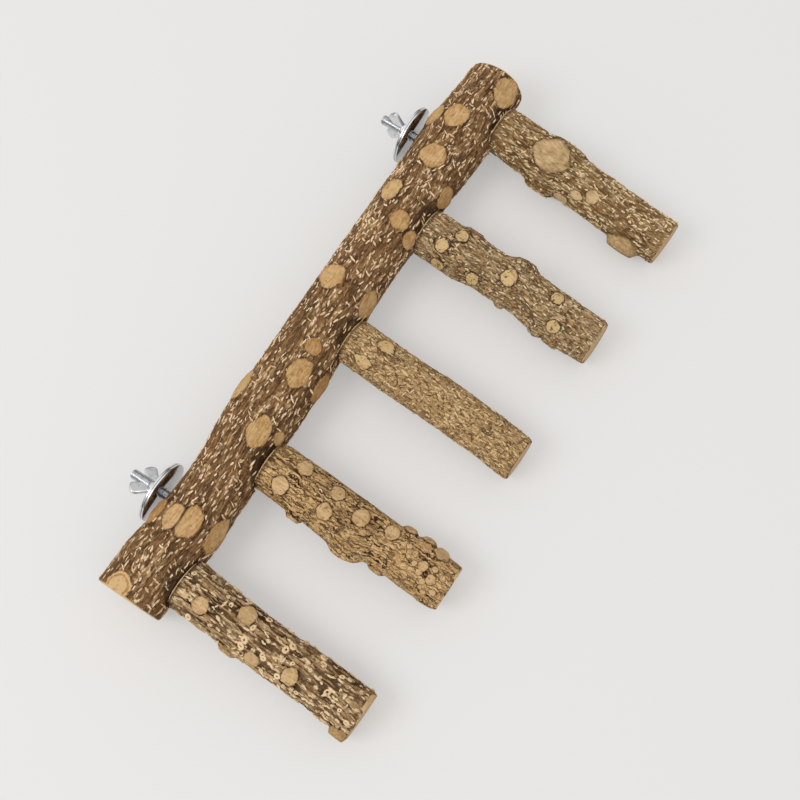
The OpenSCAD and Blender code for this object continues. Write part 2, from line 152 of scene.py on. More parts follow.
# Cosines of the turn from a knob's middle: where it ends, and where its flat top rises no further.
KNOB_FACING = 0.1
KNOB_STEEPEST = 0.3
FLUTES = 5
FLUTE_DEPTH = 0.2
FLUTE_TWIST = math.radians(1.5)
# The lean of a sawn end fades out along the cut zone, and its rim drops within the round.
CUT_ZONE = 15
RIM_ROUND = 0.9
RIM_DROP = 0.5
# Rings of a sawn end, as shares of its radius.
CAP_SHARES = (0.96, 0.8, 0.6, 0.4, 0.2, 0.02)
# The bark's relief starts outside a cut shoot, at a share of its size, and away from a sawn end.
RELIEF_OFF_SCAR = 0.95
RELIEF_SCAR_FADE = 0.3
RELIEF_OFF_END = 1.2
RELIEF_END_FADE = 0.8
SEAT_CLEARANCE = 0.5
# Painted shade in the crevice beside a perch on the main branch: how deep under its seat it starts, and where
# it fades out round the perch.
CREVICE_SHADE_DEPTH = 6
CREVICE_SHADE_OFF = 0.5
CREVICE_SHADE_FADE = 2.2
SCREW_IN_MAIN = 20
# What a place reads that has no cut shoot near it.
NO_SCAR = 9.0
# Bare edge at the start of a branch, the least one at its end, and how brown torn bark leaves the wood.
FOOT_EDGE = 0.45
LEAST_TORN = 0.05
TORN_BROWN = 0.1
# Bark further than this from the main branch's axis, on the studs' side, can meet a washer. It has no relief
# to a margin outside the washer, and the relief fades in from there.
PRESSED_DEPTH = 9.3
PRESSED_MARGIN = 1
PRESSED_FADE = 2

# Turn between two faces, in degrees, past which their edge stays sharp.
BRANCH_SHARP = 50
STUD_SHARP = 60
WASHER_SHARP = 32
ALL_SMOOTH = 180

STUD_RADIUS = 2.45
STUD_PITCH = 0.8
STUD_THREAD_DEPTH = 0.32
STUD_OVERLAP = 2
STUD_OUT = 20.5
STUD_CHAMFER = 0.7
WOOD_PITCH = 2
WOOD_THREAD_DEPTH = 0.7
POINT_LENGTH = 4
# The ends where the two threads of a stud meet, and the faces of a thread along and round it.
BLUNT = 0.1
STUD_STEP = 0.1
WOOD_STEP = 0.25
THREAD_SIDES = 28
WASHER_RADIUS = 15
WASHER_HOLE = 2.65
WASHER_THICK = 1
WASHER_SIDES = 112
HUB_RADIUS = 4.7
HUB_HEIGHT = 5
HUB_SIDES = 72
NUT_BORE = 2.5
# Size of the faces of a nut, and how often and how much they are smoothed.
NUT_GRAIN = 0.2
NUT_ROUNDS = 6
NUT_SOFTNESS = 0.5
WING_ROOT = 2.8
WING_LEAN = 42
WING_THICK = 1.9
# One wing from its root to its rounded tip: place along it and half width.
WING_OUTLINE = (
    (-1.2, 2.2), (1.5, 2.5), (3.5, 2.5), (5.5, 2.7), (7.5, 2.9), (9.2, 3.0), (10.3, 2.8), (10.9, 2.3),
    (11.2, 1.4), (11.4, 0.4),
)
# Degrees by which the nuts were left turned.
NUT_TURNS = {"upper": -80, "lower": 30}


def linear(red, green, blue):
    """A colour from its screen values of 0 to 255."""
    shares = [value / 255 for value in (red, green, blue)]
    bent = [s / 12.92 if s <= 0.04045 else ((s + 0.055) / 1.055) ** 2.4 for s in shares]
    return (*bent, 1.0)


def ease(share):
    """A share held between 0 and 1, with a gentle start and end."""
    share = np.clip(share, 0, 1)
    return share * share * (3 - 2 * share)


# Node helpers


def add(tree, kind, feeds=None, **settings):
    """A node with its settings, and its inputs fed by values or by other nodes' outputs."""
    node = tree.nodes.new(kind)
    for key, value in settings.items():
        setattr(node, key, value)
    for socket, value in (feeds or {}).items():
        if isinstance(value, bpy.types.NodeSocket):
            tree.links.new(value, node.inputs[socket])
        else:
            node.inputs[socket].default_value = value
    return node


def reckoned(tree, operation, first, second=0.0, third=0.0):
    """The output of a Math node."""
    return add(tree, "ShaderNodeMath", {0: first, 1: second, 2: third}, operation=operation).outputs[0]


def plus(tree, total, *others):
    for other in others:
        total = reckoned(tree, "ADD", total, other)
    return total


def minus(tree, first, second):
    return reckoned(tree, "SUBTRACT", first, second)


def times(tree, product, *others):
    for other in others:
        product = reckoned(tree, "MULTIPLY", product, other)
    return product


def divided(tree, first, second):
    return reckoned(tree, "DIVIDE", first, second)


def weighted(tree, value, weight, base):
    """A value times its weight, on top of a base."""
    return reckoned(tree, "MULTIPLY_ADD", value, weight, base)


def larger(tree, first, second):
    return reckoned(tree, "MAXIMUM", first, second)


def below(tree, value, limit):
    """1 where a value is below a limit, and 0 elsewhere."""
    return reckoned(tree, "LESS_THAN", value, limit)


def off(tree, value, centre):
    """How far a value is from a centre."""
    return reckoned(tree, "ABSOLUTE", minus(tree, value, centre))


def rescaled(tree, value, low, high, to_low=0.0, to_high=1.0):
    """A value eased from one range to another and held at its ends."""
    feeds = {0: value, 1: low, 2: high, 3: to_low, 4: to_high}
    return add(tree, "ShaderNodeMapRange", feeds, interpolation_type="SMOOTHSTEP").outputs[0]


def falling(tree, value, low, high, top=1.0):
    """A top value up to the low end of a range, easing to 0 at its high end."""
    return rescaled(tree, value, low, high, top, 0.0)


def blended(tree, share, first, second):
    """One colour mixed into another."""
    return add(tree, "ShaderNodeMix", {0: share, 6: first, 7: second}, data_type="RGBA").outputs[2]


def xyz(tree, x, y, z):
    return add(tree, "ShaderNodeCombineXYZ", {0: x, 1: y, 2: z}).outputs[0]


def parts(tree, vector):
    return add(tree, "ShaderNodeSeparateXYZ", {0: vector}).outputs


def vector_math(tree, operation, first, second):
    return add(tree, "ShaderNodeVectorMath", {0: first, 1: second}, operation=operation).outputs[0]


def scaled(tree, vector, factor):
    return add(tree, "ShaderNodeVectorMath", {0: vector, "Scale": factor}, operation="SCALE").outputs[0]


def drawn_out(tree, at, stretch):
    """A place with its lengthwise part scaled, so that patterns run along the branch."""
    return vector_math(tree, "MULTIPLY", at, xyz(tree, 1.0, stretch, 1.0))


def noise(tree, at, scale, detail, roughness=0.5, distortion=0.0):
    """The outputs of a noise at a place."""
    feeds = {"Vector": at, "Scale": scale, "Detail": detail, "Roughness": roughness, "Distortion": distortion}
    return add(tree, "ShaderNodeTexNoise", feeds).outputs


def speckle(tree, at, scale, detail=2.0, roughness=0.5, distortion=0.0):
    """A noise value between 0 and 1 at a place."""
    return noise(tree, at, scale, detail, roughness, distortion)[0]


def stray(tree, at, scale, detail, reach):
    """A shift that changes smoothly from place to place, of up to half the reach each way."""
    drift = noise(tree, at, scale, detail)["Color"]
    return scaled(tree, vector_math(tree, "SUBTRACT", drift, (0.5, 0.5, 0.5)), reach)


def new_tree(name, kind, inputs, outputs):
    """An empty tree with named sockets, and its input sockets and output node."""
    tree = bpy.data.node_groups.new(name, kind)
    for label, socket in inputs:
        tree.interface.new_socket(label, in_out="INPUT", socket_type="NodeSocket" + socket)
    for label, socket in outputs:
        tree.interface.new_socket(label, in_out="OUTPUT", socket_type="NodeSocket" + socket)
    return tree, add(tree, "NodeGroupInput").outputs, add(tree, "NodeGroupOutput")


def put_out(tree, exit_node, **results):
    for label, value in results.items():
        tree.links.new(value, exit_node.inputs[label])


# Lines of the bark, shared by its relief and its colours. A kind of line has a scale in lines per millimetre,
# the share of that scale along the branch, a bend in millimetres and a width.

LINE_SIZES = ("Scale", "Stretch", "Wander", "Width")
STRAND_SHIFT = 0.0
CRACK_SHIFT = 40.0
PLATE_SHIFT = 80.0
BEND_SCALE = 0.35
LINE_CREST = 0.35


def floats(*labels):
    """Number sockets of a tree."""
    return [(label, "Float") for label in labels]


def line_inputs(*kinds):
    """Inputs of a tree for the sizes of some kinds of line."""
    return floats(*[f"{kind} {label}" for kind in kinds for label in LINE_SIZES])


def line_sizes(given, kind):
    """The four sizes of one kind of line, from a tree's inputs."""
    return [given[f"{kind} {label}"] for label in LINE_SIZES]


def strayed(tree, at, shift, wander, stretch):
    """A place moved by a shift and by a smooth stray of up to half the wander, and drawn out."""
    moved = vector_math(tree, "ADD", at, (shift, shift, shift))
    bent = vector_math(tree, "ADD", moved, stray(tree, moved, BEND_SCALE, 2.0, wander))
    return drawn_out(tree, bent, stretch)


def on_line(tree, off_line, width):
    """1 on the crest of a line, and 0 outside its width."""
    return falling(tree, off_line, times(tree, width, LINE_CREST), width)


def plate_gaps(tree, at, sizes, shift):
    """1 in the gaps between long plates of bark, and 0 on the plates."""
    scale, stretch, wander, width = sizes
    feeds = {"Vector": strayed(tree, at, shift, wander, stretch), "Scale": scale}
    cells = add(tree, "ShaderNodeTexVoronoi", feeds, feature="DISTANCE_TO_EDGE")
    return on_line(tree, cells.outputs["Distance"], width)


def wavy_lines(tree, at, sizes, shift):
    """1 on wavy lines that run along the branch, and 0 between them."""
    scale, stretch, wander, width = sizes
    field = speckle(tree, strayed(tree, at, shift, wander, stretch), scale, 1.0, 0.4)
    return on_line(tree, off(tree, field, 0.5), width)


# Geometry Nodes

(CROSS_SEED, LEAN_SEED, GIRTH_SEED, REACH_SEED, RING_TURN_SEED, RING_SIZE_SEED, TINT_SEED,
 FLIP_SEED) = range(11, 19)
RING_SEED_STEP = 5.0
# Scale of the patches where flecks are few or many.
CLUMP_SCALE = 0.16
# Turn of the flecks that lie across, and the most that any fleck leans besides.
CROSS_LEAN = math.radians(70)
FLECK_LEAN = 0.4
# A ring of bark has a loop of radius 1 and a cord of this radius, and is then drawn long and pressed flat.
RING_CORD = 0.66
RING_LONG = 1.25
RING_TALL = 0.8
# Unevenness of flecks and rings, in waves per metre and in metres.
RAGGED_SCALE = 900.0
RAGGED_REACH = 0.0009


def stored(tree, name, kind="FLOAT"):
    """A named attribute of the surface."""
    node = add(tree, "GeometryNodeInputNamedAttribute", {"Name": name}, data_type=kind)
    return node.outputs["Attribute"]


def chance(tree, low, high, seed):
    """A random number for each point."""
    return add(tree, "FunctionNodeRandomValue", {2: low, 3: high, 8: seed}, data_type="FLOAT").outputs[1]


def position(tree):
    return add(tree, "GeometryNodeInputPosition").outputs[0]


def pushed(tree, shape, offset):
    """A shape with its points moved."""
    return add(tree, "GeometryNodeSetPosition", {"Geometry": shape, "Offset": offset}).outputs[0]


def circle(tree, sides, radius):
    return add(tree, "GeometryNodeCurvePrimitiveCircle", {"Resolution": sides, "Radius": radius}).outputs[0]


def swept(tree, path, section, capped):
    """A section drawn along a path."""
    feeds = {"Curve": path, "Profile Curve": section, "Fill Caps": capped}
    return add(tree, "GeometryNodeCurveToMesh", feeds).outputs[0]


def marked(tree, shape, name, value, domain):
    """A shape with a named value on it."""
    feeds = {"Geometry": shape, "Name": name, "Value": value}
    return add(tree, "GeometryNodeStoreNamedAttribute", feeds, data_type="FLOAT", domain=domain).outputs[0]


def joined(tree, *shapes):
    node = add(tree, "GeometryNodeJoinGeometry")
    for shape in shapes:
        tree.links.new(shape, node.inputs[0])
    return node.outputs[0]


def realized(tree, copies):
    return add(tree, "GeometryNodeRealizeInstances", {"Geometry": copies}).outputs[0]


def dressed(tree, shape, material):
    return add(tree, "GeometryNodeSetMaterial", {"Geometry": shape, "Material": material}).outputs[0]


def bark_growth():
    """The tree that raises strands, cracks and lumps on a branch and grows corky flecks and rings on it."""
    inputs = [("Geometry", "Geometry"), *line_inputs("Strand", "Crack")]
    inputs += floats(
        "Strand Height", "Crack Depth", "Lump Scale", "Lump Height", "Grain Scale", "Grain Height",
        "Fleck Spacing", "Fleck Length", "Fleck Width", "Fleck Height", "Strand Flecks", "Cross Share",
        "Ring Density", "Ring Radius",
    )
    inputs += [("Lengthwise", "Vector"), ("Seed", "Int"), ("Fleck Material", "Material")]
    tree, size, exit_node = new_tree("bark_growth", "GeometryNodeTree", inputs, [("Geometry", "Geometry")])
    at = stored(tree, "bark_at", "FLOAT_VECTOR")
    bark = stored(tree, "bark")
    strand = wavy_lines(tree, at, line_sizes(size, "Strand"), STRAND_SHIFT)
    raised = bark_relief(tree, size, at, bark, strand)
    flecks = corky_flecks(tree, size, at, bark, strand, raised)
    rings = corky_rings(tree, size, bark, raised)
    corky = realized(tree, joined(tree, flecks, rings))
    ragged = pushed(tree, corky, stray(tree, position(tree), RAGGED_SCALE, 1.0, RAGGED_REACH))
    smooth = add(tree, "GeometryNodeSetShadeSmooth", {"Geometry": ragged, "Shade Smooth": True}).outputs[0]
    corky = dressed(tree, smooth, size["Fleck Material"])
    put_out(tree, exit_node, Geometry=joined(tree, corky, raised))
    return tree


def bark_relief(tree, size, at, bark, strand):
    """The branch with its strands raised, its cracks sunk and its bark lumpy."""
    crack = wavy_lines(tree, at, line_sizes(size, "Crack"), CRACK_SHIFT)
    lump = minus(tree, speckle(tree, at, size["Lump Scale"]), 0.5)
    grain = minus(tree, speckle(tree, drawn_out(tree, at, 0.5), size["Grain Scale"], 4.0, 0.6), 0.5)
    height = times(tree, strand, size["Strand Height"])
    height = minus(tree, height, times(tree, crack, size["Crack Depth"]))
    height = weighted(tree, lump, size["Lump Height"], height)
    height = weighted(tree, grain, size["Grain Height"], height)
    normal = add(tree, "GeometryNodeInputNormal").outputs[0]
    return pushed(tree, size["Geometry"], scaled(tree, normal, times(tree, height, bark, MM)))


def corky_flecks(tree, size, at, bark, strand, raised):
    """Flecks along the branch, most of them on its strands, and some across it."""
    spacing = times(tree, size["Fleck Spacing"], MM)
    crowding = divided(tree, 1.0, times(tree, spacing, spacing))
    clump = rescaled(tree, speckle(tree, at, CLUMP_SCALE, 1.0), 0.25, 0.5)
    on_strand = larger(tree, strand, minus(tree, 1.0, size["Strand Flecks"]))
    feeds = {
        "Mesh": raised, "Distance Min": spacing, "Density Max": crowding,
        "Density Factor": times(tree, bark, clump, on_strand), "Seed": size["Seed"],
    }
    spots = add(tree, "GeometryNodeDistributePointsOnFaces", feeds, distribute_method="POISSON")
    crossing = below(tree, chance(tree, 0.0, 1.0, CROSS_SEED), size["Cross Share"])
    lean = weighted(tree, crossing, CROSS_LEAN, chance(tree, -FLECK_LEAN, FLECK_LEAN, LEAN_SEED))
    flipped = below(tree, chance(tree, 0.0, 1.0, FLIP_SEED), 0.5)
    lean = weighted(tree, flipped, math.pi, lean)
    turn = turned_flat(tree, spots, size["Lengthwise"], lean)
    girth = chance(tree, 0.6, 1.25, GIRTH_SEED)
    reach = chance(tree, 0.45, 1.3, REACH_SEED)
    half = 0.5 * MM
    wide = times(tree, size["Fleck Width"], half, girth)
    long = times(tree, size["Fleck Length"], half, reach)
    tall = times(tree, size["Fleck Height"], MM, girth)
    return planted(tree, spots, bent_fleck(tree), turn, xyz(tree, wide, long, tall))


def corky_rings(tree, size, bark, raised):
    """Small closed rings scattered on the bark."""
    density = times(tree, bark, divided(tree, size["Ring Density"], MM * MM))
    feeds = {"Mesh": raised, "Density": density, "Seed": plus(tree, size["Seed"], RING_SEED_STEP)}
    spots = add(tree, "GeometryNodeDistributePointsOnFaces", feeds)
    ring = swept(tree, circle(tree, 9, 1.0), circle(tree, 5, RING_CORD), False)
    turn = turned_flat(tree, spots, size["Lengthwise"], chance(tree, 0.0, FULL_TURN, RING_TURN_SEED))
    reach = times(tree, size["Ring Radius"], MM, chance(tree, 0.7, 1.3, RING_SIZE_SEED))
    ring_size = xyz(tree, reach, times(tree, reach, RING_LONG), times(tree, reach, RING_TALL))
    return planted(tree, spots, ring, turn, ring_size)


def bent_fleck(tree):
    """One fleck along Y: a short bent ridge with narrow ends, of half width and half length 1."""
    ends = {"Resolution": 4, "Start": (-0.5, -1.0, 0.0), "Middle": (1.6, 0.0, 0.0), "End": (-0.5, 1.0, 0.0)}
    bend = add(tree, "GeometryNodeCurveQuadraticBezier", ends).outputs[0]
    share = add(tree, "GeometryNodeSplineParameter").outputs["Factor"]
    taper = rescaled(tree, reckoned(tree, "PINGPONG", share, 0.5), 0.0, 0.3, 0.45, 1.0)
    spine = add(tree, "GeometryNodeSetCurveRadius", {"Curve": bend, "Radius": taper}).outputs[0]
    return swept(tree, spine, circle(tree, 4, 1.0), True)


def turned_flat(tree, spots, lengthwise, turn):
    """A rotation that lays a spot on the bark, along the branch, and then turns it."""
    axes = {"Primary Axis": spots.outputs["Normal"], "Secondary Axis": lengthwise}
    laid = add(tree, "FunctionNodeAxesToRotation", axes, primary_axis="Z", secondary_axis="Y").outputs[0]
    about = add(tree, "FunctionNodeEulerToRotation", {"Euler": xyz(tree, 0.0, 0.0, turn)}).outputs[0]
    feeds = {"Rotation": laid, "Rotate By": about}
    return add(tree, "FunctionNodeRotateRotation", feeds, rotation_space="LOCAL").outputs[0]


def planted(tree, spots, shape, rotation, size):
    """Copies of a shape on the spots, each with its own tint and its crest marked."""
    crested = marked(tree, shape, "crest", parts(tree, position(tree))[2], "POINT")
    feeds = {"Points": spots.outputs["Points"], "Instance": crested, "Rotation": rotation, "Scale": size}
    copies = add(tree, "GeometryNodeInstanceOnPoints", feeds).outputs[0]
    return marked(tree, copies, "fleck_tint", chance(tree, 0.0, 1.0, TINT_SEED), "INSTANCE")


THREAD_SIZES = ("Radius", "Length", "Pitch", "Depth", "Point", "Chamfer", "Step")


def thread_growth():
    """The tree that makes a screw thread along +Z, with a point and a chamfered end."""
    inputs = [("Geometry", "Geometry"), *floats(*THREAD_SIZES), ("Metal", "Material")]
    tree, size, exit_node = new_tree("thread_growth", "GeometryNodeTree", inputs, [("Geometry", "Geometry")])
    feeds = {
        "Vertices": THREAD_SIDES, "Side Segments": divided(tree, size["Length"], size["Step"]),
        "Fill Segments": 2, "Radius": size["Radius"], "Depth": size["Length"],
    }
    rod = add(tree, "GeometryNodeMeshCylinder", feeds).outputs[0]
    place = position(tree)
    part = parts(tree, place)
    angle = divided(tree, reckoned(tree, "ARCTAN2", part[1], part[0]), FULL_TURN)
    climb = minus(tree, divided(tree, part[2], size["Pitch"]), angle)
    groove = rescaled(tree, times(tree, reckoned(tree, "PINGPONG", climb, 0.5), 2.0), 0.15, 0.85)
    inset = divided(tree, times(tree, groove, size["Depth"]), size["Radius"])
    from_start = weighted(tree, size["Length"], 0.5, part[2])
    from_end = minus(tree, size["Length"], from_start)
    pointed = rescaled(tree, from_start, 0.0, size["Point"], 0.04, 1.0)
    chamfered = rescaled(tree, from_end, 0.0, size["Chamfer"], 0.8, 1.0)
    share = times(tree, minus(tree, 1.0, inset), times(tree, pointed, chamfered))
    spot = vector_math(tree, "MULTIPLY", place, xyz(tree, share, share, 1.0))
    cut = add(tree, "GeometryNodeSetPosition", {"Geometry": rod, "Position": spot}).outputs[0]
    stood = pushed(tree, cut, xyz(tree, 0.0, 0.0, times(tree, size["Length"], 0.5)))
    put_out(tree, exit_node, Geometry=dressed(tree, realized(tree, stood), size["Metal"]))
    return tree


def linked(name, data):
    """A new object in the scene."""
    piece = bpy.data.objects.new(name, data)
    bpy.context.scene.collection.objects.link(piece)
    return piece


def grown(name, mesh, tree, values):
    """An object with the plain mesh that a tree grows from another mesh."""
    piece = linked(name, mesh)
    growth = piece.modifiers.new("growth", "NODES")
    growth.node_group = tree
    for socket in tree.interface.items_tree:
        if socket.in_out == "INPUT" and socket.name in values:
            growth[socket.identifier] = values[socket.name]
    return settled(piece)


def settled(piece):
    """The piece with the result of its modifiers as its plain mesh."""
    depsgraph = bpy.context.evaluated_depsgraph_get()
    result = bpy.data.meshes.new_from_object(
        piece.evaluated_get(depsgraph), preserve_all_data_layers=True, depsgraph=depsgraph
    )
    piece.modifiers.clear()
    piece.data = result
    return piece


def settle_on(piece, node, body):
    """A piece that stands for a CAD node and moves with its body."""
    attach(piece, body)
    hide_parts(node)


# Shader groups

COLOUR_AND_HEIGHT = [("Colour", "Color"), ("Height", "Float")]


def colours(*labels):
    """Colour sockets of a group."""
    return [(label, "Color") for label in labels]


def surface_value(tree, name):
    return add(tree, "ShaderNodeAttribute", attribute_name=name).outputs["Fac"]


def surface_place(tree):
    """Place on the straightened branch, in millimetres."""
    return add(tree, "ShaderNodeAttribute", attribute_name="bark_at").outputs["Vector"]


def bark_skin_group():
    """Bark with streaks, wavy strands and cracks along the branch, painted flecks and dark pits."""
    inputs = colours("Ground", "Ridge", "Strand", "Crack", "Fleck") + line_inputs("Strand", "Crack", "Plate")
    inputs += floats(
        "Streak Scale", "Streak Stretch", "Ridge Share", "Strand Share", "Crack Share", "Knob Cracks",
        "Pit Share", "Plate Share", "Fleck Scale", "Fleck Stretch", "Fleck Size", "Fleck Share",
        "Strand Flecks", "Painted Light Side",
    )
    tree, given, exit_node = new_tree("bark_skin", "ShaderNodeTree", inputs, COLOUR_AND_HEIGHT)
    at = surface_place(tree)
    along = drawn_out(tree, at, given["Streak Stretch"])
    streak = speckle(tree, along, given["Streak Scale"], 4.0, 0.6, 0.3)
    ridge = times(tree, rescaled(tree, streak, 0.42, 0.58), given["Ridge Share"])
    # Painted light: the side of the branch towards the key lamp is painted paler.
    side = times(tree, rescaled(tree, parts(tree, at)[0], 2.0, 9.0), given["Painted Light Side"])
    tone = blended(tree, larger(tree, ridge, side), given["Ground"], given["Ridge"])

    strand = wavy_lines(tree, at, line_sizes(given, "Strand"), STRAND_SHIFT)
    whole = rescaled(tree, streak, 0.4, 0.52, 0.2, 1.0)
    strand_share = times(tree, strand, whole, given["Strand Share"])
    tone = blended(tree, strand_share, tone, given["Strand"])

    fine = speckle(tree, along, times(tree, given["Streak Scale"], 2.3), 3.0, 0.6)
    pits = times(tree, rescaled(tree, fine, 0.52, 0.62), given["Pit Share"])
    tone = blended(tree, pits, tone, given["Crack"])
    crack = wavy_lines(tree, at, line_sizes(given, "Crack"), CRACK_SHIFT)
    patch = rescaled(tree, speckle(tree, at, 0.08), 0.35, 0.65)
    beside = falling(tree, surface_value(tree, "scar_at"), 1.0, 2.1)
    cracked = times(tree, weighted(tree, patch, 0.4, 0.6), given["Crack Share"])
    cracked = weighted(tree, beside, given["Knob Cracks"], cracked)
    crack = times(tree, crack, reckoned(tree, "MINIMUM", cracked, 1.0))
    gap = plate_gaps(tree, at, line_sizes(given, "Plate"), PLATE_SHIFT)
    broken = rescaled(tree, speckle(tree, at, 0.4), 0.35, 0.55, 0.15, 1.0)
    crack = larger(tree, crack, times(tree, gap, broken, given["Plate Share"]))
    tone = blended(tree, crack, tone, given["Crack"])

    shaken = vector_math(tree, "ADD", at, noise(tree, at, 0.7, 2.0)["Color"])
    spread = drawn_out(tree, shaken, given["Fleck Stretch"])
    cells = add(tree, "ShaderNodeTexVoronoi", {"Vector": spread, "Scale": given["Fleck Scale"]}).outputs
    draw = add(tree, "ShaderNodeSeparateColor", {0: cells["Color"]}).outputs
    wanted = weighted(tree, minus(tree, strand, 0.5), given["Strand Flecks"], given["Fleck Share"])
    reach = times(tree, given["Fleck Size"], weighted(tree, draw[1], 0.5, 0.75))
    spot = falling(tree, cells["Distance"], times(tree, reach, 0.72), reach)
    fleck = times(tree, spot, below(tree, draw[0], wanted))
    tone = blended(tree, times(tree, fleck, weighted(tree, draw[2], 0.45, 0.55)), tone, given["Fleck"])
    # Painted shade in the crevices at the perch seats and on the perches' side away from the light, and real
    # stains, darken the bark towards the crack tone.
    tone = blended(tree, times(tree, surface_value(tree, "shade_and_stain"), 0.75), tone, given["Crack"])
    height = weighted(tree, pits, -0.5, streak)
    height = minus(tree, plus(tree, height, larger(tree, fleck, strand_share)), crack)
    put_out(tree, exit_node, Colour=tone, Height=height)
    return tree


def cut_wood_group():
    """Bare wood of a cut shoot: grain, stains, rings, dark pits, and a band where the tint is below 0."""
    inputs = colours("Pale", "Brown", "Pit") + floats("Pit Share", "Rings")
    tree, given, exit_node = new_tree("cut_wood", "ShaderNodeTree", inputs, COLOUR_AND_HEIGHT)
    at = surface_place(tree)
    scar_at = surface_value(tree, "scar_at")
    tint = surface_value(tree, "scar_tint")
    grain = speckle(tree, drawn_out(tree, at, 0.14), 1.7, 3.0, 0.6, 0.4)
    cloud = speckle(tree, at, 0.22, 3.0, 0.6)
    edge = rescaled(tree, scar_at, 0.55, 1.0, 0.0, 0.25)
    on_band = falling(tree, off(tree, scar_at, 0.74), 0.03, 0.14)
    band = times(tree, on_band, falling(tree, tint, -0.4, -0.1, 1.3))
    clouded = rescaled(tree, cloud, 0.3, 0.7, -0.3, 0.2)
    grained = rescaled(tree, grain, 0.38, 0.62, -0.3, 0.3)
    share = plus(tree, tint, edge, band, clouded, grained)
    ring = weighted(tree, scar_at, 16.0, times(tree, cloud, 9.0))
    share = weighted(tree, reckoned(tree, "SINE", ring), given["Rings"], share)
    tone = blended(tree, share, given["Pale"], given["Brown"])
    hollow = rescaled(tree, speckle(tree, at, 0.6), 0.6, 0.68)
    tone = blended(tree, times(tree, hollow, given["Pit Share"]), tone, given["Pit"])
    put_out(tree, exit_node, Colour=tone, Height=minus(tree, grain, hollow))
    return tree


def scar_edge_group():
    """Where the bare wood of cut shoots shows, the rim of bark round it and the seam between two shoots."""
    outputs = floats("Mask", "Rim", "Seam")
    tree, given, exit_node = new_tree("scar_edge", "ShaderNodeTree", floats("Wobble"), outputs)
    ragged = minus(tree, speckle(tree, surface_place(tree), 0.5, 3.0, 0.6), 0.5)
    edge = weighted(tree, ragged, given["Wobble"], surface_value(tree, "scar_at"))
    mask = falling(tree, edge, 0.9, 1.0)
    rim = falling(tree, off(tree, edge, 1.03), 0.02, 0.12)
    crease = falling(tree, surface_value(tree, "scar_seam"), 0.1, 0.3)
    crease = times(tree, crease, falling(tree, edge, 1.0, 1.15))
    put_out(tree, exit_node, Mask=mask, Rim=rim, Seam=crease)
    return tree


def end_grain_group():
    """A sawn end: growth rings round the heart, rays, and the bark's own ring at the rim."""
    inputs = colours("Pale", "Ring", "Bark") + floats("Ring Spacing")
    tree, given, exit_node = new_tree("end_grain", "ShaderNodeTree", inputs, COLOUR_AND_HEIGHT)
    at = surface_place(tree)
    part = parts(tree, at)
    flat = xyz(tree, part[0], 0.0, part[2])
    far = add(tree, "ShaderNodeVectorMath", {0: flat}, operation="LENGTH").outputs["Value"]
    bent = weighted(tree, speckle(tree, flat, 0.25), 2.2, far)
    wave = reckoned(tree, "SINE", times(tree, divided(tree, bent, given["Ring Spacing"]), FULL_TURN))
    ring = rescaled(tree, wave, 0.2, 1.0, 0.0, 0.7)
    angle = reckoned(tree, "ARCTAN2", part[2], part[0])
    fan = xyz(tree, times(tree, angle, 9.0), times(tree, far, 0.1), 0.0)
    rays = rescaled(tree, speckle(tree, fan, 1.6, 3.0, 0.6), 0.5, 0.72, 0.0, 0.45)
    stain = rescaled(tree, speckle(tree, flat, 0.12, 3.0, 0.6), 0.4, 0.75, 0.0, 0.5)
    tone = blended(tree, ring, given["Pale"], given["Ring"])
    tone = blended(tree, larger(tree, rays, stain), tone, given["Ring"])
    uneven = minus(tree, speckle(tree, at, 0.5), 0.5)
    rim = weighted(tree, uneven, 0.06, surface_value(tree, "heart"))
    tone = blended(tree, rescaled(tree, rim, 0.9, 0.94), tone, given["Bark"])
    put_out(tree, exit_node, Colour=tone, Height=weighted(tree, rays, -0.6, wave))
    return tree


def plated_metal_group():
    """Bright plate with faint clouding and fine scratches."""
    inputs = colours("Bright", "Dull") + floats("Polish", "Cloud Scale")
    outputs = colours("Colour") + floats("Roughness")
    tree, given, exit_node = new_tree("plated_metal", "ShaderNodeTree", inputs, outputs)
    at = add(tree, "ShaderNodeTexCoord").outputs["Object"]
    cloud = speckle(tree, at, given["Cloud Scale"], 3.0, 0.6)
    scratch = speckle(tree, drawn_out(tree, at, 14.0), times(tree, given["Cloud Scale"], 2.0))
    scratched = rescaled(tree, scratch, 0.62, 0.74, 0.0, 0.7)
    share = larger(tree, rescaled(tree, cloud, 0.45, 0.75), scratched)
    tone = blended(tree, share, given["Bright"], given["Dull"])
    put_out(tree, exit_node, Colour=tone, Roughness=weighted(tree, share, 0.12, given["Polish"]))
    return tree


# Materials

BARK_SKIN = bark_skin_group()
CUT_WOOD = cut_wood_group()
SCAR_EDGE = scar_edge_group()
END_GRAIN = end_grain_group()
PLATED_METAL = plated_metal_group()


def new_material(name):
    """A material with an empty Principled shader."""
    material = bpy.data.materials.new(name)
    material.use_nodes = True
    return material, material.node_tree, material.node_tree.nodes["Principled BSDF"]


def group_node(tree, group, values):
    """The outputs of a shader group in a material, with its own values."""
    return add(tree, "ShaderNodeGroup", values, node_tree=group).outputs


def matt(shader, roughness, gloss):
    shader.inputs["Roughness"].default_value = roughness
    shader.inputs["Specular IOR Level"].default_value = gloss


def bumped(tree, shader, height, strength, distance):
    """Fine relief on a surface, from a height and the metres that it stands for."""
    bump = add(tree, "ShaderNodeBump", {"Strength": strength, "Distance": distance, "Height": height})
    tree.links.new(bump.outputs[0], shader.inputs["Normal"])


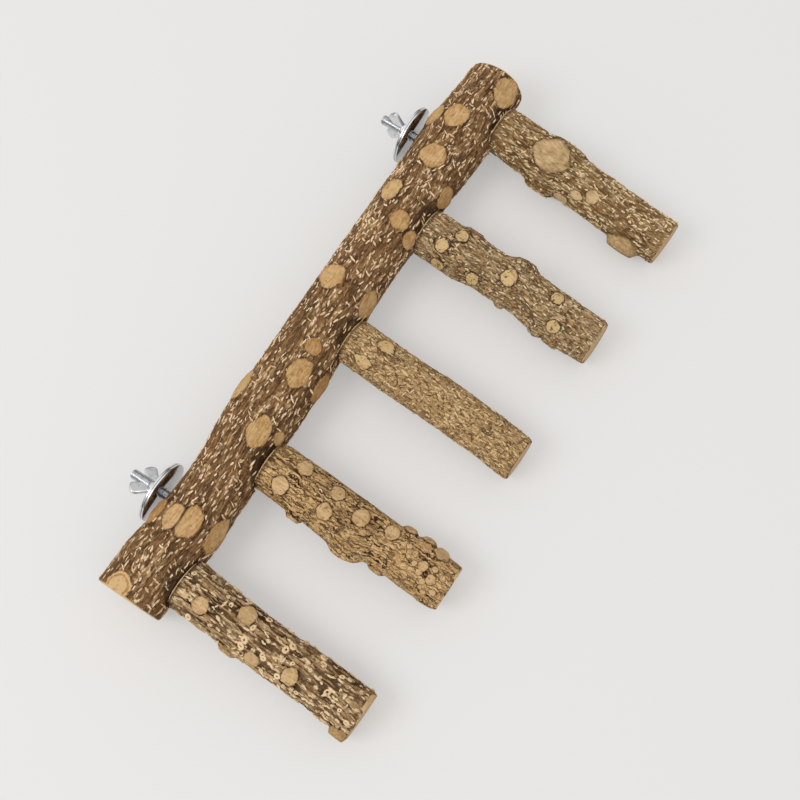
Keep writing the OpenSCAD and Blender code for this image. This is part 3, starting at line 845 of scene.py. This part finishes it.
def bark_material(name, finish):
    """Bark with the bare wood of its cut shoots."""
    material, tree, shader = new_material(name)
    skin = group_node(tree, BARK_SKIN, finish["skin"])
    wood = group_node(tree, CUT_WOOD, finish["scar"])
    edge = group_node(tree, SCAR_EDGE, {"Wobble": finish["wobble"]})
    rim = times(tree, edge["Rim"], finish["rim_share"])
    tone = blended(tree, rim, skin["Colour"], finish["rim"])
    tone = blended(tree, edge["Mask"], tone, wood["Colour"])
    tone = blended(tree, times(tree, edge["Seam"], 0.85), tone, finish["rim"])
    tree.links.new(tone, shader.inputs["Base Color"])
    bark_height = times(tree, skin["Height"], minus(tree, 1.0, edge["Mask"]))
    height = weighted(tree, times(tree, wood["Height"], 0.25), edge["Mask"], bark_height)
    bumped(tree, shader, height, strength=0.9, distance=0.0006)
    matt(shader, roughness=0.82, gloss=0.12)
    return material


def fleck_material(name, cream, shade):
    """Corky flecks, cream on their crests and browner at the foot."""
    material, tree, shader = new_material(name)
    crest = rescaled(tree, surface_value(tree, "crest"), -0.2, 0.5)
    tint = rescaled(tree, surface_value(tree, "fleck_tint"), 0.0, 1.0, 0.45, 1.0)
    tree.links.new(blended(tree, times(tree, crest, tint), shade, cream), shader.inputs["Base Color"])
    matt(shader, roughness=0.88, gloss=0.12)
    return material


def sawn_material(name, pale, ring, bark):
    """A sawn end of a branch."""
    material, tree, shader = new_material(name)
    values = {"Pale": linear(*pale), "Ring": linear(*ring), "Bark": linear(*bark), "Ring Spacing": 1.7}
    end = group_node(tree, END_GRAIN, values)
    tree.links.new(end["Colour"], shader.inputs["Base Color"])
    bumped(tree, shader, end["Height"], strength=0.35, distance=0.0002)
    matt(shader, roughness=0.8, gloss=0.25)
    return material


def metal_material(name, bright, dull, polish, cloud_scale):
    """Plated steel."""
    material, tree, shader = new_material(name)
    values = {"Bright": linear(*bright), "Dull": linear(*dull), "Polish": polish, "Cloud Scale": cloud_scale}
    plate = group_node(tree, PLATED_METAL, values)
    tree.links.new(plate["Colour"], shader.inputs["Base Color"])
    tree.links.new(plate["Roughness"], shader.inputs["Roughness"])
    shader.inputs["Metallic"].default_value = 1.0
    return material


SAWN_END = sawn_material("sawn_end", (224, 190, 146), (196, 154, 106), (120, 88, 58))
WASHER_PLATE = metal_material("washer_chrome", (216, 217, 219), (186, 188, 190), polish=0.08, cloud_scale=160)
NUT_PLATE = metal_material("nut_zinc", (228, 230, 231), (196, 199, 202), polish=0.12, cloud_scale=260)
STUD_PLATE = metal_material("stud_zinc", (206, 208, 211), (166, 169, 174), polish=0.16, cloud_scale=300)
SCREW_PLATE = metal_material("screw_steel", (196, 198, 202), (150, 152, 156), polish=0.3, cloud_scale=300)


# Places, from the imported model


def node_points(node):
    """Corners of a CAD node's mesh."""
    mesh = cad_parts[node].data
    points = np.empty(3 * len(mesh.vertices))
    mesh.vertices.foreach_get("co", points)
    return points.reshape(-1, 3) / MM


def middle(node):
    low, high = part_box(node)
    return (low + high) / (2 * MM)


def screw_line(number):
    """A perch's axis: the inner point of its screw, and the direction out of the main branch."""
    points = node_points(f"dowel_screw_{number}")
    inner = points[points[:, 0].argmin()]
    outer = points[points[:, 0].argmax()]
    return inner, (outer - inner) / np.linalg.norm(outer - inner)


AXIS_HEIGHT = middle("hanger_bolt_upper").z
first_inner, first_along = screw_line(1)
MAIN_X = (first_inner + first_along * (AXIS_HEIGHT - first_inner[2]) / first_along[2])[0]
MAIN_START = np.array([MAIN_X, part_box("main_branch")[0].y / MM, AXIS_HEIGHT])
# Of each perch: the middle of its seat, its direction and its radius there.
SEATS = []
for number, radius, form in zip(PERCH_NUMBERS, PERCH_RADII, PERCH_FORMS):
    screw_inner, outward = screw_line(number)
    SEATS.append((screw_inner + SCREW_IN_MAIN * outward, outward, radius + form[0][2]))


# Branches


def form_at(form, share, column):
    """Smooth value of one column of a form at shares of the length."""
    rows = np.array(form, float)
    value = np.full(share.shape, rows[0, column])
    for before, after in zip(rows[:-1], rows[1:]):
        step = ease((share - before[0]) / (after[0] - before[0]))
        value = np.where(share >= before[0], before[column] + step * (after[column] - before[column]), value)
    return value


def bark_reach(branch, along, around):
    """Reach of the bark from the axis, and how near, how brown and how joined the cut shoots are."""
    base = branch["radius"] + form_at(branch["form"], along / branch["length"], 2)
    reach = base + FLUTE_DEPTH * np.sin(FLUTES * around + FLUTE_TWIST * along)
    near = np.full(reach.shape, NO_SCAR)
    second = near.copy()
    tint = np.zeros(reach.shape)
    last_middle = None
    for index, (place, angle, half_long, half_wide, height, brown) in enumerate(branch["knobs"]):
        turn = around - math.radians(angle)
        ahead = (along - place) / half_long
        aside = base * np.sin(turn) / half_wide
        bearing = np.arctan2(aside, ahead)
        uneven = np.sin(3 * bearing + 1.7 * index) + np.sin(5 * bearing + 2.4 * index)
        far = np.hypot(ahead, aside) * (1 + KNOB_WOBBLE * uneven)
        facing = np.cos(turn) > KNOB_FACING
        flat = DOME_FLAT if DOME_LOW < height < DOME_HIGH else KNOB_FLAT
        share = np.where(facing, 1 - ease((far - flat) / (KNOB_GONE - flat)), 0)
        top = (base + height) / np.maximum(np.cos(turn), KNOB_STEEPEST)
        level = np.minimum(reach, top) if height < 0 else np.maximum(reach, top)
        reach = reach * (1 - share) + level * share
        if brown is None:
            continue
        far = np.where(facing, far, NO_SCAR)
        nearer = far < near
        # Two rows with one middle are one shoot, so there is no seam between them.
        if (place, angle) != last_middle:
            second = np.where(nearer, near, np.minimum(second, far))
        last_middle = (place, angle)
        near = np.where(nearer, far, near)
        tint = np.where(nearer, brown, tint)
    return reach, near, tint, second - near


def peeled(branch, along, around, near, tint):
    """Bark torn back a little from the sawn ends, so that pale wood shows there."""
    torn = 0.55 + 0.3 * np.sin(3 * around + 1) + 0.25 * np.sin(7 * around) + 0.2 * np.sin(13 * around)
    far = (branch["length"] - along) / np.maximum(branch["peel"] * torn, LEAST_TORN)
    far = np.minimum(far, along / FOOT_EDGE)
    nearer = far < near
    return np.where(nearer, far, near), np.where(nearer, TORN_BROWN, tint)


def branch_mesh(name, branch, bark, sawn):
    """A branch with sawn ends, and what its bark needs to know about each place on it."""
    rings, sides = branch["rings"], branch["sides"]
    along = np.linspace(0, branch["length"], rings + 1)[:, None]
    around = np.linspace(0, FULL_TURN, sides, endpoint=False)[None, :]
    reach, near, tint, seam = bark_reach(branch, along, around)
    near, tint = peeled(branch, along, around, near, tint)
    from_end = np.minimum(along, branch["length"] - along)
    reach = reach - RIM_DROP * (1 - ease(from_end / RIM_ROUND))
    tilt = np.tan(math.radians(branch["cut"])) * np.maximum(0, 1 - (branch["length"] - along) / CUT_ZONE)
    shift = form_at(branch["form"], along / branch["length"], 1)

    caps = len(CAP_SHARES)
    picked = np.array([*range(rings + 1), *[0] * caps, *[rings] * caps])
    share = np.array([*[1.0] * (rings + 1), *CAP_SHARES, *CAP_SHARES])[:, None]
    level = reach[picked] * share
    straight_across = level * np.cos(around)
    upwards = level * np.sin(around)
    lengthwise = along[picked] - tilt[picked] * level * np.sin(around)
    across_axis = np.cross(branch["outward"], (0, 0, 1))
    across_axis = across_axis / np.linalg.norm(across_axis)
    up_axis = np.cross(across_axis, branch["outward"])
    points = (
        branch["start"]
        + (shift[picked] + straight_across)[..., None] * across_axis
        + lengthwise[..., None] * branch["outward"]
        + upwards[..., None] * up_axis
    ).reshape(-1, 3)
    points = branch["carve"](points)

    faces = []
    hearts = []
    order = np.arange(sides)
    after = (order + 1) % sides
    for here in range(0, rings * sides, sides):
        there = here + sides
        faces.append(np.stack([here + order, there + order, there + after, here + after], 1))
    far_cap = rings + 1 + caps
    for edge, first_cap, left, right in ((0, rings + 1, order, after), (rings, far_cap, after, order)):
        rows = [edge * sides, *[row * sides for row in range(first_cap, first_cap + caps)]]
        for outer, inner in zip(rows[:-1], rows[1:]):
            faces.append(np.stack([outer + left, outer + right, inner + right, inner + left], 1))
        hearts.append((rows[-1] + (order if edge == 0 else order[::-1])).tolist())
    mesh = bpy.data.meshes.new(name)
    mesh.from_pydata((points * MM).tolist(), [], np.concatenate(faces).tolist() + hearts)
    index = np.ones(len(mesh.polygons), np.int32)
    index[:rings * sides] = 0
    mesh.materials.append(bark)
    mesh.materials.append(sawn)
    mesh.polygons.foreach_set("material_index", index)
    smooth_but_for(mesh, BRANCH_SHARP)

    covered = ease((near[picked] - RELIEF_OFF_SCAR) / RELIEF_SCAR_FADE)
    covered = covered * ease((from_end[picked] - RELIEF_OFF_END) / RELIEF_END_FADE)
    covered = np.where(share < 1, 0, covered * branch["relief"](points).reshape(level.shape))
    # Painted shade in the crevices at the perch seats, and stains with painted shade on the perches' side
    # away from the light, make one darkening value.
    crevice_shade = branch["shade_and_stain"](points, np.broadcast_to(along[picked], level.shape).ravel())
    stain = stain_and_shade_share(branch, along[picked], around).ravel()
    write_values(mesh, "bark_at", np.stack([straight_across, lengthwise, upwards], -1), "FLOAT_VECTOR")
    fields = dict(
        scar_at=near[picked], scar_tint=tint[picked], scar_seam=seam[picked], bark=covered,
        shade_and_stain=np.maximum(crevice_shade, stain), heart=np.broadcast_to(share, level.shape),
    )
    for label, values in fields.items():
        write_values(mesh, label, values)
    return mesh


def smooth_but_for(mesh, sharp):
    """Smooth shading with an edge kept where faces turn by more than some degrees."""
    mesh.polygons.foreach_set("use_smooth", np.ones(len(mesh.polygons), bool))
    mesh.set_sharp_from_angle(angle=math.radians(sharp))


def write_values(mesh, name, values, kind="FLOAT"):
    """A named value at each corner of the mesh."""
    field = "vector" if kind == "FLOAT_VECTOR" else "value"
    data = mesh.attributes.new(name, kind, "POINT").data
    data.foreach_set(field, np.ascontiguousarray(values, np.float32).ravel())


def from_seat(points, seat, outward):
    """How far points lie out along a perch's axis from its seat, and how far aside of that axis."""
    depth = (points - seat) @ outward
    return depth, np.linalg.norm(points - seat - depth[:, None] * outward, axis=1)


def seats_cut(points):
    """The main branch with a flat seat for each perch."""
    for seat, outward, radius in SEATS:
        depth, aside = from_seat(points, seat, outward)
        inside = (depth > 0) & (aside < radius + FLUTE_DEPTH + SEAT_CLEARANCE)
        points = points - np.where(inside, depth, 0)[:, None] * outward
    return points


def uncut(points):
    return points


def washers_pressed(points):
    """Share of the relief that the main branch keeps: none where a washer can press on it."""
    kept = np.ones(len(points))
    for end in STUD_ENDS:
        spot = middle("hanger_bolt_" + end)
        aside = np.hypot(points[:, 1] - spot.y, points[:, 2] - spot.z)
        under = points[:, 0] < MAIN_X - PRESSED_DEPTH
        free = ease((aside - WASHER_RADIUS - PRESSED_MARGIN) / PRESSED_FADE)
        kept = np.where(under, np.minimum(kept, free), kept)
    return kept


def unpressed(points):
    return np.ones(len(points))


def seat_crevice_shade(points, along):
    """Painted shade on the main branch in the crevices beside the perches."""
    crevice_shade = np.zeros(len(points))
    for seat, outward, radius in SEATS:
        depth, aside = from_seat(points, seat, outward)
        round_foot = 1 - ease((aside - radius - CREVICE_SHADE_OFF) / CREVICE_SHADE_FADE)
        crevice_shade = np.maximum(crevice_shade, np.where(depth > -CREVICE_SHADE_DEPTH, round_foot, 0))
    return crevice_shade


def foot_crevice_shade(points, along):
    """Painted shade in the crevice at the seated end of a perch, from 0.3 to 2.5 mm along it."""
    return (1 - ease((along - 0.9) / 1.6)) * ease((along - 0.3) / 0.5)


def stain_and_shade_share(branch, along, around):
    """Dark patches on the bark: stains, and painted shade on the perches' side away from the light."""
    dark = np.zeros(np.broadcast(along, around).shape)
    for place, angle, half_long, half_wide, share in branch["stains_and_shade"]:
        turn = around - math.radians(angle)
        far = np.hypot((along - place) / half_long, branch["radius"] * np.sin(turn) / half_wide)
        dark = np.maximum(dark, np.where(np.cos(turn) > 0, share * (1 - ease(far - 0.4)), 0))
    return dark


BARK_GROWTH = bark_growth()


def grow_branch(node, branch, finish):
    """One branch of the ladder in place of its CAD node."""
    bark = bark_material(finish["slot"], finish)
    flecks = fleck_material(node + "_flecks", finish["fleck"], finish["fleck_foot"])
    plain = branch_mesh(node, branch, bark, SAWN_END)
    values = dict(finish["growth"])
    values["Lengthwise"] = tuple(branch["outward"])
    values["Seed"] = finish["seed"]
    values["Fleck Material"] = flecks
    piece = grown(node + "_bark", plain, BARK_GROWTH, values)
    settle_on(piece, node, "ladder")


# Finishes of the six branches


def bare_wood(pale, brown, pit_share, rings):
    """The wood of a branch's cut shoots."""
    tones = {"Pale": linear(*pale), "Brown": linear(*brown), "Pit": linear(104, 74, 44)}
    return {**tones, "Pit Share": pit_share, "Rings": rings}


def titled(values):
    """Values under the names of a tree's inputs."""
    return {label.replace("_", " ").title(): value for label, value in values.items()}


def branch_finish(slot, seed, tones, strand, crack, growth, skin, scar, rim_share, wobble):
    """The look of one branch: its tones, its strands and cracks, its relief in millimetres and its skin."""
    ground, ridge, strand_tone, crack_tone, fleck = [linear(*tone) for tone in tones]
    relief = dict(
        strand_height=0.3, crack_depth=0.2, lump_scale=0.13, lump_height=0.8, grain_scale=1.0,
        grain_height=0.3, fleck_spacing=2.2, fleck_length=1.9, fleck_width=1.0, fleck_height=0.4,
        strand_flecks=0.6, cross_share=0.2, ring_density=0.0, ring_radius=0.8,
    )
    surface = dict(
        ground=ground, ridge=ridge, strand=strand_tone, crack=crack_tone, fleck=fleck, streak_scale=0.6,
        streak_stretch=0.4, ridge_share=0.8, strand_share=0.8, crack_share=0.7, knob_cracks=0.2,
        pit_share=0.5, fleck_scale=0.72, fleck_stretch=0.5, fleck_size=0.34, fleck_share=0.55,
        strand_flecks=0.5, painted_light_side=0.0, plate_scale=0.4, plate_stretch=0.3, plate_wander=3.0,
        plate_width=0.1, plate_share=0.0,
    )
    relief.update(growth)
    surface.update(skin)
    lines = {}
    for kind, sizes in (("Strand", strand), ("Crack", crack)):
        lines.update({f"{kind} {label}": value for label, value in zip(LINE_SIZES, sizes)})
    return dict(
        slot=slot, seed=seed, skin={**titled(surface), **lines}, growth={**titled(relief), **lines},
        scar=scar, wobble=wobble, rim=crack_tone, rim_share=rim_share, fleck=fleck, fleck_foot=strand_tone,
    )


# Tones are those of the ground, its ridges, the strands, the cracks and the flecks.
MAIN_FINISH = branch_finish(
    "main_bark", seed=3,
    tones=((126, 91, 58), (155, 117, 78), (200, 162, 115), (52, 34, 19), (250, 224, 187)),
    strand=(0.34, 0.14, 2.4, 0.08), crack=(0.4, 0.14, 1.5, 0.07),
    growth=dict(fleck_spacing=2.0, fleck_length=2.2, fleck_width=0.74, cross_share=0.3),
    skin=dict(fleck_stretch=0.36, fleck_share=0.66, crack_share=0.6, ridge_share=0.6),
    scar=bare_wood((212, 177, 128), (176, 131, 78), pit_share=0.3, rings=0.06),
    rim_share=0.22, wobble=0.34,
)
PERCH_FINISHES = (
    branch_finish(
        "perch_1_bark", seed=5,
        tones=((146, 111, 69), (178, 145, 101), (214, 186, 141), (88, 60, 33), (246, 222, 180)),
        strand=(0.4, 0.2, 1.6, 0.1), crack=(0.45, 0.2, 1.5, 0.08),
        growth=dict(fleck_spacing=1.9, fleck_length=1.9, fleck_width=0.75), skin=dict(fleck_share=0.7),
        scar=bare_wood((214, 184, 138), (158, 128, 86), pit_share=0.3, rings=0.12),
        rim_share=0.3, wobble=0.25,
    ),
    branch_finish(
        "perch_2_bark", seed=7,
        tones=((168, 130, 86), (206, 174, 128), (226, 200, 158), (64, 41, 21), (244, 222, 184)),
        strand=(0.6, 0.35, 1.2, 0.1), crack=(0.65, 0.35, 1.4, 0.08),
        growth=dict(
            crack_depth=0.25, grain_height=0.4, fleck_spacing=2.4, fleck_length=1.3, fleck_width=0.65,
            fleck_height=0.35,
        ),
        skin=dict(
            fleck_scale=1.0, fleck_stretch=0.5, fleck_share=0.4, knob_cracks=0.3, streak_scale=0.75,
            streak_stretch=0.22,
        ),
        scar=bare_wood((212, 182, 132), (166, 132, 84), pit_share=0.9, rings=0.25),
        rim_share=0.85, wobble=0.7,
    ),
    branch_finish(
        "perch_3_bark", seed=11,
        tones=((191, 153, 104), (218, 185, 136), (232, 203, 156), (94, 61, 31), (228, 197, 150)),
        strand=(0.6, 0.35, 2.0, 0.06), crack=(0.62, 0.3, 2.6, 0.04),
        growth=dict(
            crack_depth=0.1, fleck_spacing=1.9, fleck_length=1.8, fleck_width=0.75, fleck_height=0.3,
            strand_flecks=0.3, cross_share=0.15,
        ),
        skin=dict(
            fleck_share=0.0, knob_cracks=0.5, strand_share=0.6, crack_share=0.35, pit_share=0.35,
            streak_stretch=0.4, streak_scale=0.8, strand_flecks=0.2, plate_scale=0.6, plate_stretch=0.28,
            plate_wander=4.0, plate_width=0.1, plate_share=0.8,
        ),
        scar=bare_wood((216, 184, 134), (184, 147, 98), pit_share=0.6, rings=0.14),
        rim_share=0.6, wobble=0.8,
    ),
    branch_finish(
        "perch_4_bark", seed=13,
        tones=((205, 165, 112), (228, 193, 142), (134, 94, 54), (66, 41, 20), (236, 206, 162)),
        strand=(0.5, 0.2, 3.0, 0.045), crack=(0.4, 0.18, 3.2, 0.05),
        growth=dict(
            strand_height=-0.2, crack_depth=0.45, fleck_spacing=5.0, fleck_length=2.0, fleck_width=0.7,
            fleck_height=0.3,
        ),
        skin=dict(
            fleck_share=0.0, crack_share=1.0, strand_share=0.8, pit_share=0.2, strand_flecks=0.0,
            plate_scale=0.5, plate_stretch=0.25, plate_wander=4.0, plate_width=0.07, plate_share=0.4,
        ),
        scar=bare_wood((215, 182, 136), (176, 140, 94), pit_share=0.5, rings=0.12),
        rim_share=0.65, wobble=0.4,
    ),
    branch_finish(
        "perch_5_bark", seed=17,
        tones=((158, 120, 79), (196, 163, 121), (226, 195, 150), (62, 39, 20), (239, 213, 172)),
        strand=(0.45, 0.13, 1.6, 0.09), crack=(0.5, 0.13, 1.4, 0.1),
        growth=dict(
            strand_height=0.4, crack_depth=0.4, fleck_spacing=2.6, fleck_length=2.1, fleck_width=1.1,
            ring_density=0.01, ring_radius=0.9,
        ),
        # Perch 5's side towards the key lamp is painted paler, as painted light.
        skin=dict(
            fleck_scale=0.42, fleck_stretch=0.75, fleck_size=0.4, crack_share=0.9, painted_light_side=0.6,
            fleck_share=0.65,
        ),
        scar=bare_wood((212, 180, 133), (170, 133, 88), pit_share=0.2, rings=0.08),
        rim_share=0.35, wobble=0.3,
    ),
)

main_knobs = list(MAIN_KNOBS)
for end in STUD_ENDS:
    main_knobs.append((middle("hanger_bolt_" + end).y - MAIN_START[1], *STUD_HOLE))
main_branch = dict(
    length=MAIN_LENGTH, radius=MAIN_RADIUS, form=MAIN_FORM, knobs=main_knobs, stains_and_shade=(), cut=0,
    peel=MAIN_PEEL, rings=MAIN_RINGS, sides=MAIN_SIDES, start=MAIN_START, outward=np.array([0.0, 1.0, 0.0]),
    carve=seats_cut, relief=washers_pressed, shade_and_stain=seat_crevice_shade,
)
grow_branch("main_branch", main_branch, MAIN_FINISH)
for row, number in enumerate(PERCH_NUMBERS):
    seat, outward, _ = SEATS[row]
    perch = dict(
        length=PERCH_LENGTHS[row], radius=PERCH_RADII[row], form=PERCH_FORMS[row], knobs=PERCH_KNOBS[row],
        stains_and_shade=PERCH_STAINS_AND_SHADE[row], cut=PERCH_CUTS[row], peel=PERCH_PEELS[row], rings=PERCH_RINGS,
        sides=PERCH_SIDES, start=seat, outward=outward, carve=uncut, relief=unpressed, shade_and_stain=foot_crevice_shade,
    )
    grow_branch(f"perch_{number}", perch, PERCH_FINISHES[row])


# Hardware

# Turns +Z outwards along a stud, and +X up.
OUTWARDS = Matrix(((0, 0, -1), (0, 1, 0), (1, 0, 0))).to_4x4()
# Closed outlines of a washer and of a nut's hub: radius and height above the side nearest the wood.
WASHER_OUTLINE = (
    (WASHER_HOLE, 0.18), (WASHER_HOLE + 0.18, 0), (WASHER_RADIUS - 0.2, 0), (WASHER_RADIUS - 0.06, 0.06),
    (WASHER_RADIUS, 0.22), (WASHER_RADIUS, WASHER_THICK - 0.42), (WASHER_RADIUS - 0.1, WASHER_THICK - 0.16),
    (WASHER_RADIUS - 0.38, WASHER_THICK), (WASHER_HOLE + 0.3, WASHER_THICK),
    (WASHER_HOLE, WASHER_THICK - 0.25),
)
HUB_OUTLINE = (
    (NUT_BORE, 0), (HUB_RADIUS - 0.2, 0), (HUB_RADIUS, 0.25), (HUB_RADIUS - 0.15, 1), (HUB_RADIUS - 0.7, 3.6),
    (HUB_RADIUS - 1.1, HUB_HEIGHT - 0.3), (HUB_RADIUS - 1.7, HUB_HEIGHT), (NUT_BORE, HUB_HEIGHT),
)
THREAD_GROWTH = thread_growth()


def on_stud(node, centre):
    """Frame of a piece on a stud: its side nearest the wood at zero, on the axis through the centre node."""
    axis = middle(centre) * MM
    return Matrix.Translation((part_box(node)[1].x, axis.y, axis.z)) @ OUTWARDS


def lathe(outline, sides):
    """A closed outline of radius and height, turned about +Z."""
    shape = bmesh.new()
    loops = []
    for side in range(sides):
        angle = FULL_TURN * side / sides
        loops.append([
            shape.verts.new((radius * math.cos(angle) * MM, radius * math.sin(angle) * MM, height * MM))
            for radius, height in outline
        ])
    for side in range(sides):
        this, other = loops[side], loops[(side + 1) % sides]
        for place in range(len(outline)):
            following = (place + 1) % len(outline)
            shape.faces.new((this[place], other[place], other[following], this[following]))
    return shape


def as_mesh(name, shape, sharp):
    """A finished mesh from a closed shape."""
    bmesh.ops.recalc_face_normals(shape, faces=shape.faces)
    mesh = bpy.data.meshes.new(name)
    shape.to_mesh(mesh)
    shape.free()
    smooth_but_for(mesh, sharp)
    return mesh


def washer(node, body):
    mesh = as_mesh(node, lathe(WASHER_OUTLINE, WASHER_SIDES), WASHER_SHARP)
    mesh.transform(on_stud(node, node))
    mesh.materials.append(WASHER_PLATE)
    settle_on(linked(node + "_plate", mesh), node, body)


def add_wing(shape, side):
    """A wing leaning out of the hub, on one side of the stud."""
    lean = math.radians(WING_LEAN)
    ahead = Vector((side * math.sin(lean), 0, math.cos(lean)))
    aside = Vector((side * math.cos(lean), 0, -math.sin(lean)))
    root = Vector((0, 0, WING_ROOT))
    rim = [root + place * ahead + half * aside for place, half in WING_OUTLINE]
    rim += [root + place * ahead - half * aside for place, half in reversed(WING_OUTLINE)]
    faces = []
    for across in (-WING_THICK / 2, WING_THICK / 2):
        faces.append([shape.verts.new((spot.x * MM, across * MM, spot.z * MM)) for spot in rim])
    shape.faces.new(faces[0])
    shape.faces.new(list(reversed(faces[1])))
    for place in range(len(rim)):
        following = (place + 1) % len(rim)
        shape.faces.new((faces[0][place], faces[1][place], faces[1][following], faces[0][following]))


def wing_nut(end):
    """A wing nut whose hub and wings flow into each other, turned about its stud as it was left."""
    node = "wing_nut_" + end
    shape = lathe(HUB_OUTLINE, HUB_SIDES)
    add_wing(shape, 1)
    add_wing(shape, -1)
    piece = linked(node + "_plate", as_mesh(node, shape, ALL_SMOOTH))
    cast = piece.modifiers.new("cast", "REMESH")
    cast.mode = "VOXEL"
    cast.voxel_size = NUT_GRAIN * MM
    cast.use_smooth_shade = True
    soften = piece.modifiers.new("soften", "SMOOTH")
    soften.factor = NUT_SOFTNESS
    soften.iterations = NUT_ROUNDS
    settled(piece)
    turn = Matrix.Rotation(math.radians(90 + NUT_TURNS[end]), 4, "Z")
    piece.data.transform(on_stud(node, "hanger_bolt_" + end) @ turn)
    piece.data.materials.clear()
    piece.data.materials.append(NUT_PLATE)
    settle_on(piece, node, end + "_nut")


def hanger_bolt(end):
    """A stud with a machine thread outside the wood and a coarse one inside it."""
    node = "hanger_bolt_" + end
    low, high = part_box(node)
    outside = STUD_OUT + STUD_OVERLAP
    inside = (high.x - low.x) / MM - outside
    coarse = (STUD_RADIUS, inside, WOOD_PITCH, WOOD_THREAD_DEPTH, POINT_LENGTH, BLUNT, WOOD_STEP)
    fine = (STUD_RADIUS, outside, STUD_PITCH, STUD_THREAD_DEPTH, BLUNT, STUD_CHAMFER, STUD_STEP)
    shape = bmesh.new()
    for name, sizes, start in ((node + "_coarse", coarse, 0), (node + "_fine", fine, inside)):
        values = {label: size * MM for label, size in zip(THREAD_SIZES, sizes)}
        values["Metal"] = STUD_PLATE
        part = grown(name, bpy.data.meshes.new(name), THREAD_GROWTH, values)
        part.data.transform(Matrix.Translation((0, 0, start * MM)))
        shape.from_mesh(part.data)
        bpy.data.objects.remove(part)
    mesh = as_mesh(node, shape, STUD_SHARP)
    mesh.transform(on_stud(node, node))
    mesh.materials.clear()
    mesh.materials.append(STUD_PLATE)
    settle_on(linked(node + "_thread", mesh), node, "ladder")


for end in STUD_ENDS:
    hanger_bolt(end)
    for layer in ("inner", "outer"):
        washer(f"{layer}_washer_{end}", f"{end}_{layer}_washer")
    wing_nut(end)
for number in PERCH_NUMBERS:
    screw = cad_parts[f"dowel_screw_{number}"]
    screw.data.materials.clear()
    screw.data.materials.append(SCREW_PLATE)


# Stage, light and camera, with lengths in metres

# The floor glows for the camera and for reflections only, so that it looks pale and its glow lights nothing.
FLOOR_HALF = 6
FLOOR_GLOW = 0.36
floor_material, floor_tree, floor_shader = new_material("pale_floor")
floor_shader.inputs["Base Color"].default_value = linear(180, 179, 178)
floor_shader.inputs["Emission Color"].default_value = (1.0, 0.985, 0.965, 1.0)
floor_path = add(floor_tree, "ShaderNodeLightPath").outputs
floor_seen = larger(floor_tree, floor_path["Is Camera Ray"], floor_path["Is Glossy Ray"])
floor_glow = times(floor_tree, floor_seen, FLOOR_GLOW)
floor_tree.links.new(floor_glow, floor_shader.inputs["Emission Strength"])
matt(floor_shader, roughness=0.9, gloss=0.1)
floor_shape = bmesh.new()
bmesh.ops.create_grid(floor_shape, x_segments=1, y_segments=1, size=FLOOR_HALF)
floor_mesh = bpy.data.meshes.new("floor")
floor_shape.to_mesh(floor_mesh)
floor_shape.free()
floor_mesh.transform(Matrix.Translation((0, 0, cad_box[0][2])))
floor_mesh.materials.append(floor_material)
floor = linked("floor", floor_mesh)

# The world lights the ladder evenly. The metal mirrors it darker near the horizon and brighter overhead.
WORLD_LEVEL = 0.77
WORLD_SEEN = 0.8
WORLD_LOW = 0.16
WORLD_HIGH = 1.1
world = bpy.data.worlds.new("studio")
bpy.context.scene.world = world
world.use_nodes = True
sky = world.node_tree
backdrop = sky.nodes["Background"]
path = add(sky, "ShaderNodeLightPath").outputs
facing = add(sky, "ShaderNodeTexCoord").outputs["Generated"]
glow = rescaled(sky, parts(sky, facing)[2], 0.05, 0.75, WORLD_LOW, WORLD_HIGH)
mirrored = add(sky, "ShaderNodeMix", {0: path["Is Glossy Ray"], 2: WORLD_LEVEL, 3: glow}).outputs[0]
strength = add(sky, "ShaderNodeMix", {0: path["Is Camera Ray"], 2: mirrored, 3: WORLD_SEEN}).outputs[0]
sky.links.new(strength, backdrop.inputs["Strength"])
backdrop.inputs["Color"].default_value = (1.0, 0.99, 0.98, 1.0)

# The middle of the picture, on the main branch's level: millimetres out from its axis and along it.
AIM_OUT = 49.6
AIM_ALONG = -12.0
AIM = Vector((MAIN_X + AIM_OUT, AIM_ALONG, AXIS_HEIGHT)) * MM
KEY_OFFSET = Vector((-0.75, -0.95, 1.45))
KEY_WIDTH = 1.0
KEY_WATTS = 11
key_lamp = bpy.data.lights.new("soft_key", "AREA")
key_lamp.shape = "DISK"
key_lamp.size = KEY_WIDTH
key_lamp.energy = KEY_WATTS
key = linked("soft_key", key_lamp)
key.location = AIM + KEY_OFFSET
key.rotation_euler = (AIM - key.location).to_track_quat("-Z", "Y").to_euler()

CAMERA_AZIMUTH = math.radians(33.06)
CAMERA_ELEVATION = math.radians(73)
CAMERA_DISTANCE = 0.54
FOCAL_PIXELS = 1170
FRAME_PIXELS = 800
SENSOR_WIDTH = 36
lens = bpy.data.cameras.new("camera")
lens.sensor_width = SENSOR_WIDTH
lens.lens = SENSOR_WIDTH * FOCAL_PIXELS / FRAME_PIXELS
lens.clip_start = 0.01
camera = linked("camera", lens)
flat_reach = math.cos(CAMERA_ELEVATION)
away = Vector((
    math.sin(CAMERA_AZIMUTH) * flat_reach, -math.cos(CAMERA_AZIMUTH) * flat_reach, math.sin(CAMERA_ELEVATION)
))
camera.location = AIM + CAMERA_DISTANCE * away
camera.rotation_euler = (-away).to_track_quat("-Z", "Y").to_euler()
bpy.context.scene.camera = camera
bpy.context.scene.view_settings.view_transform = "Standard"
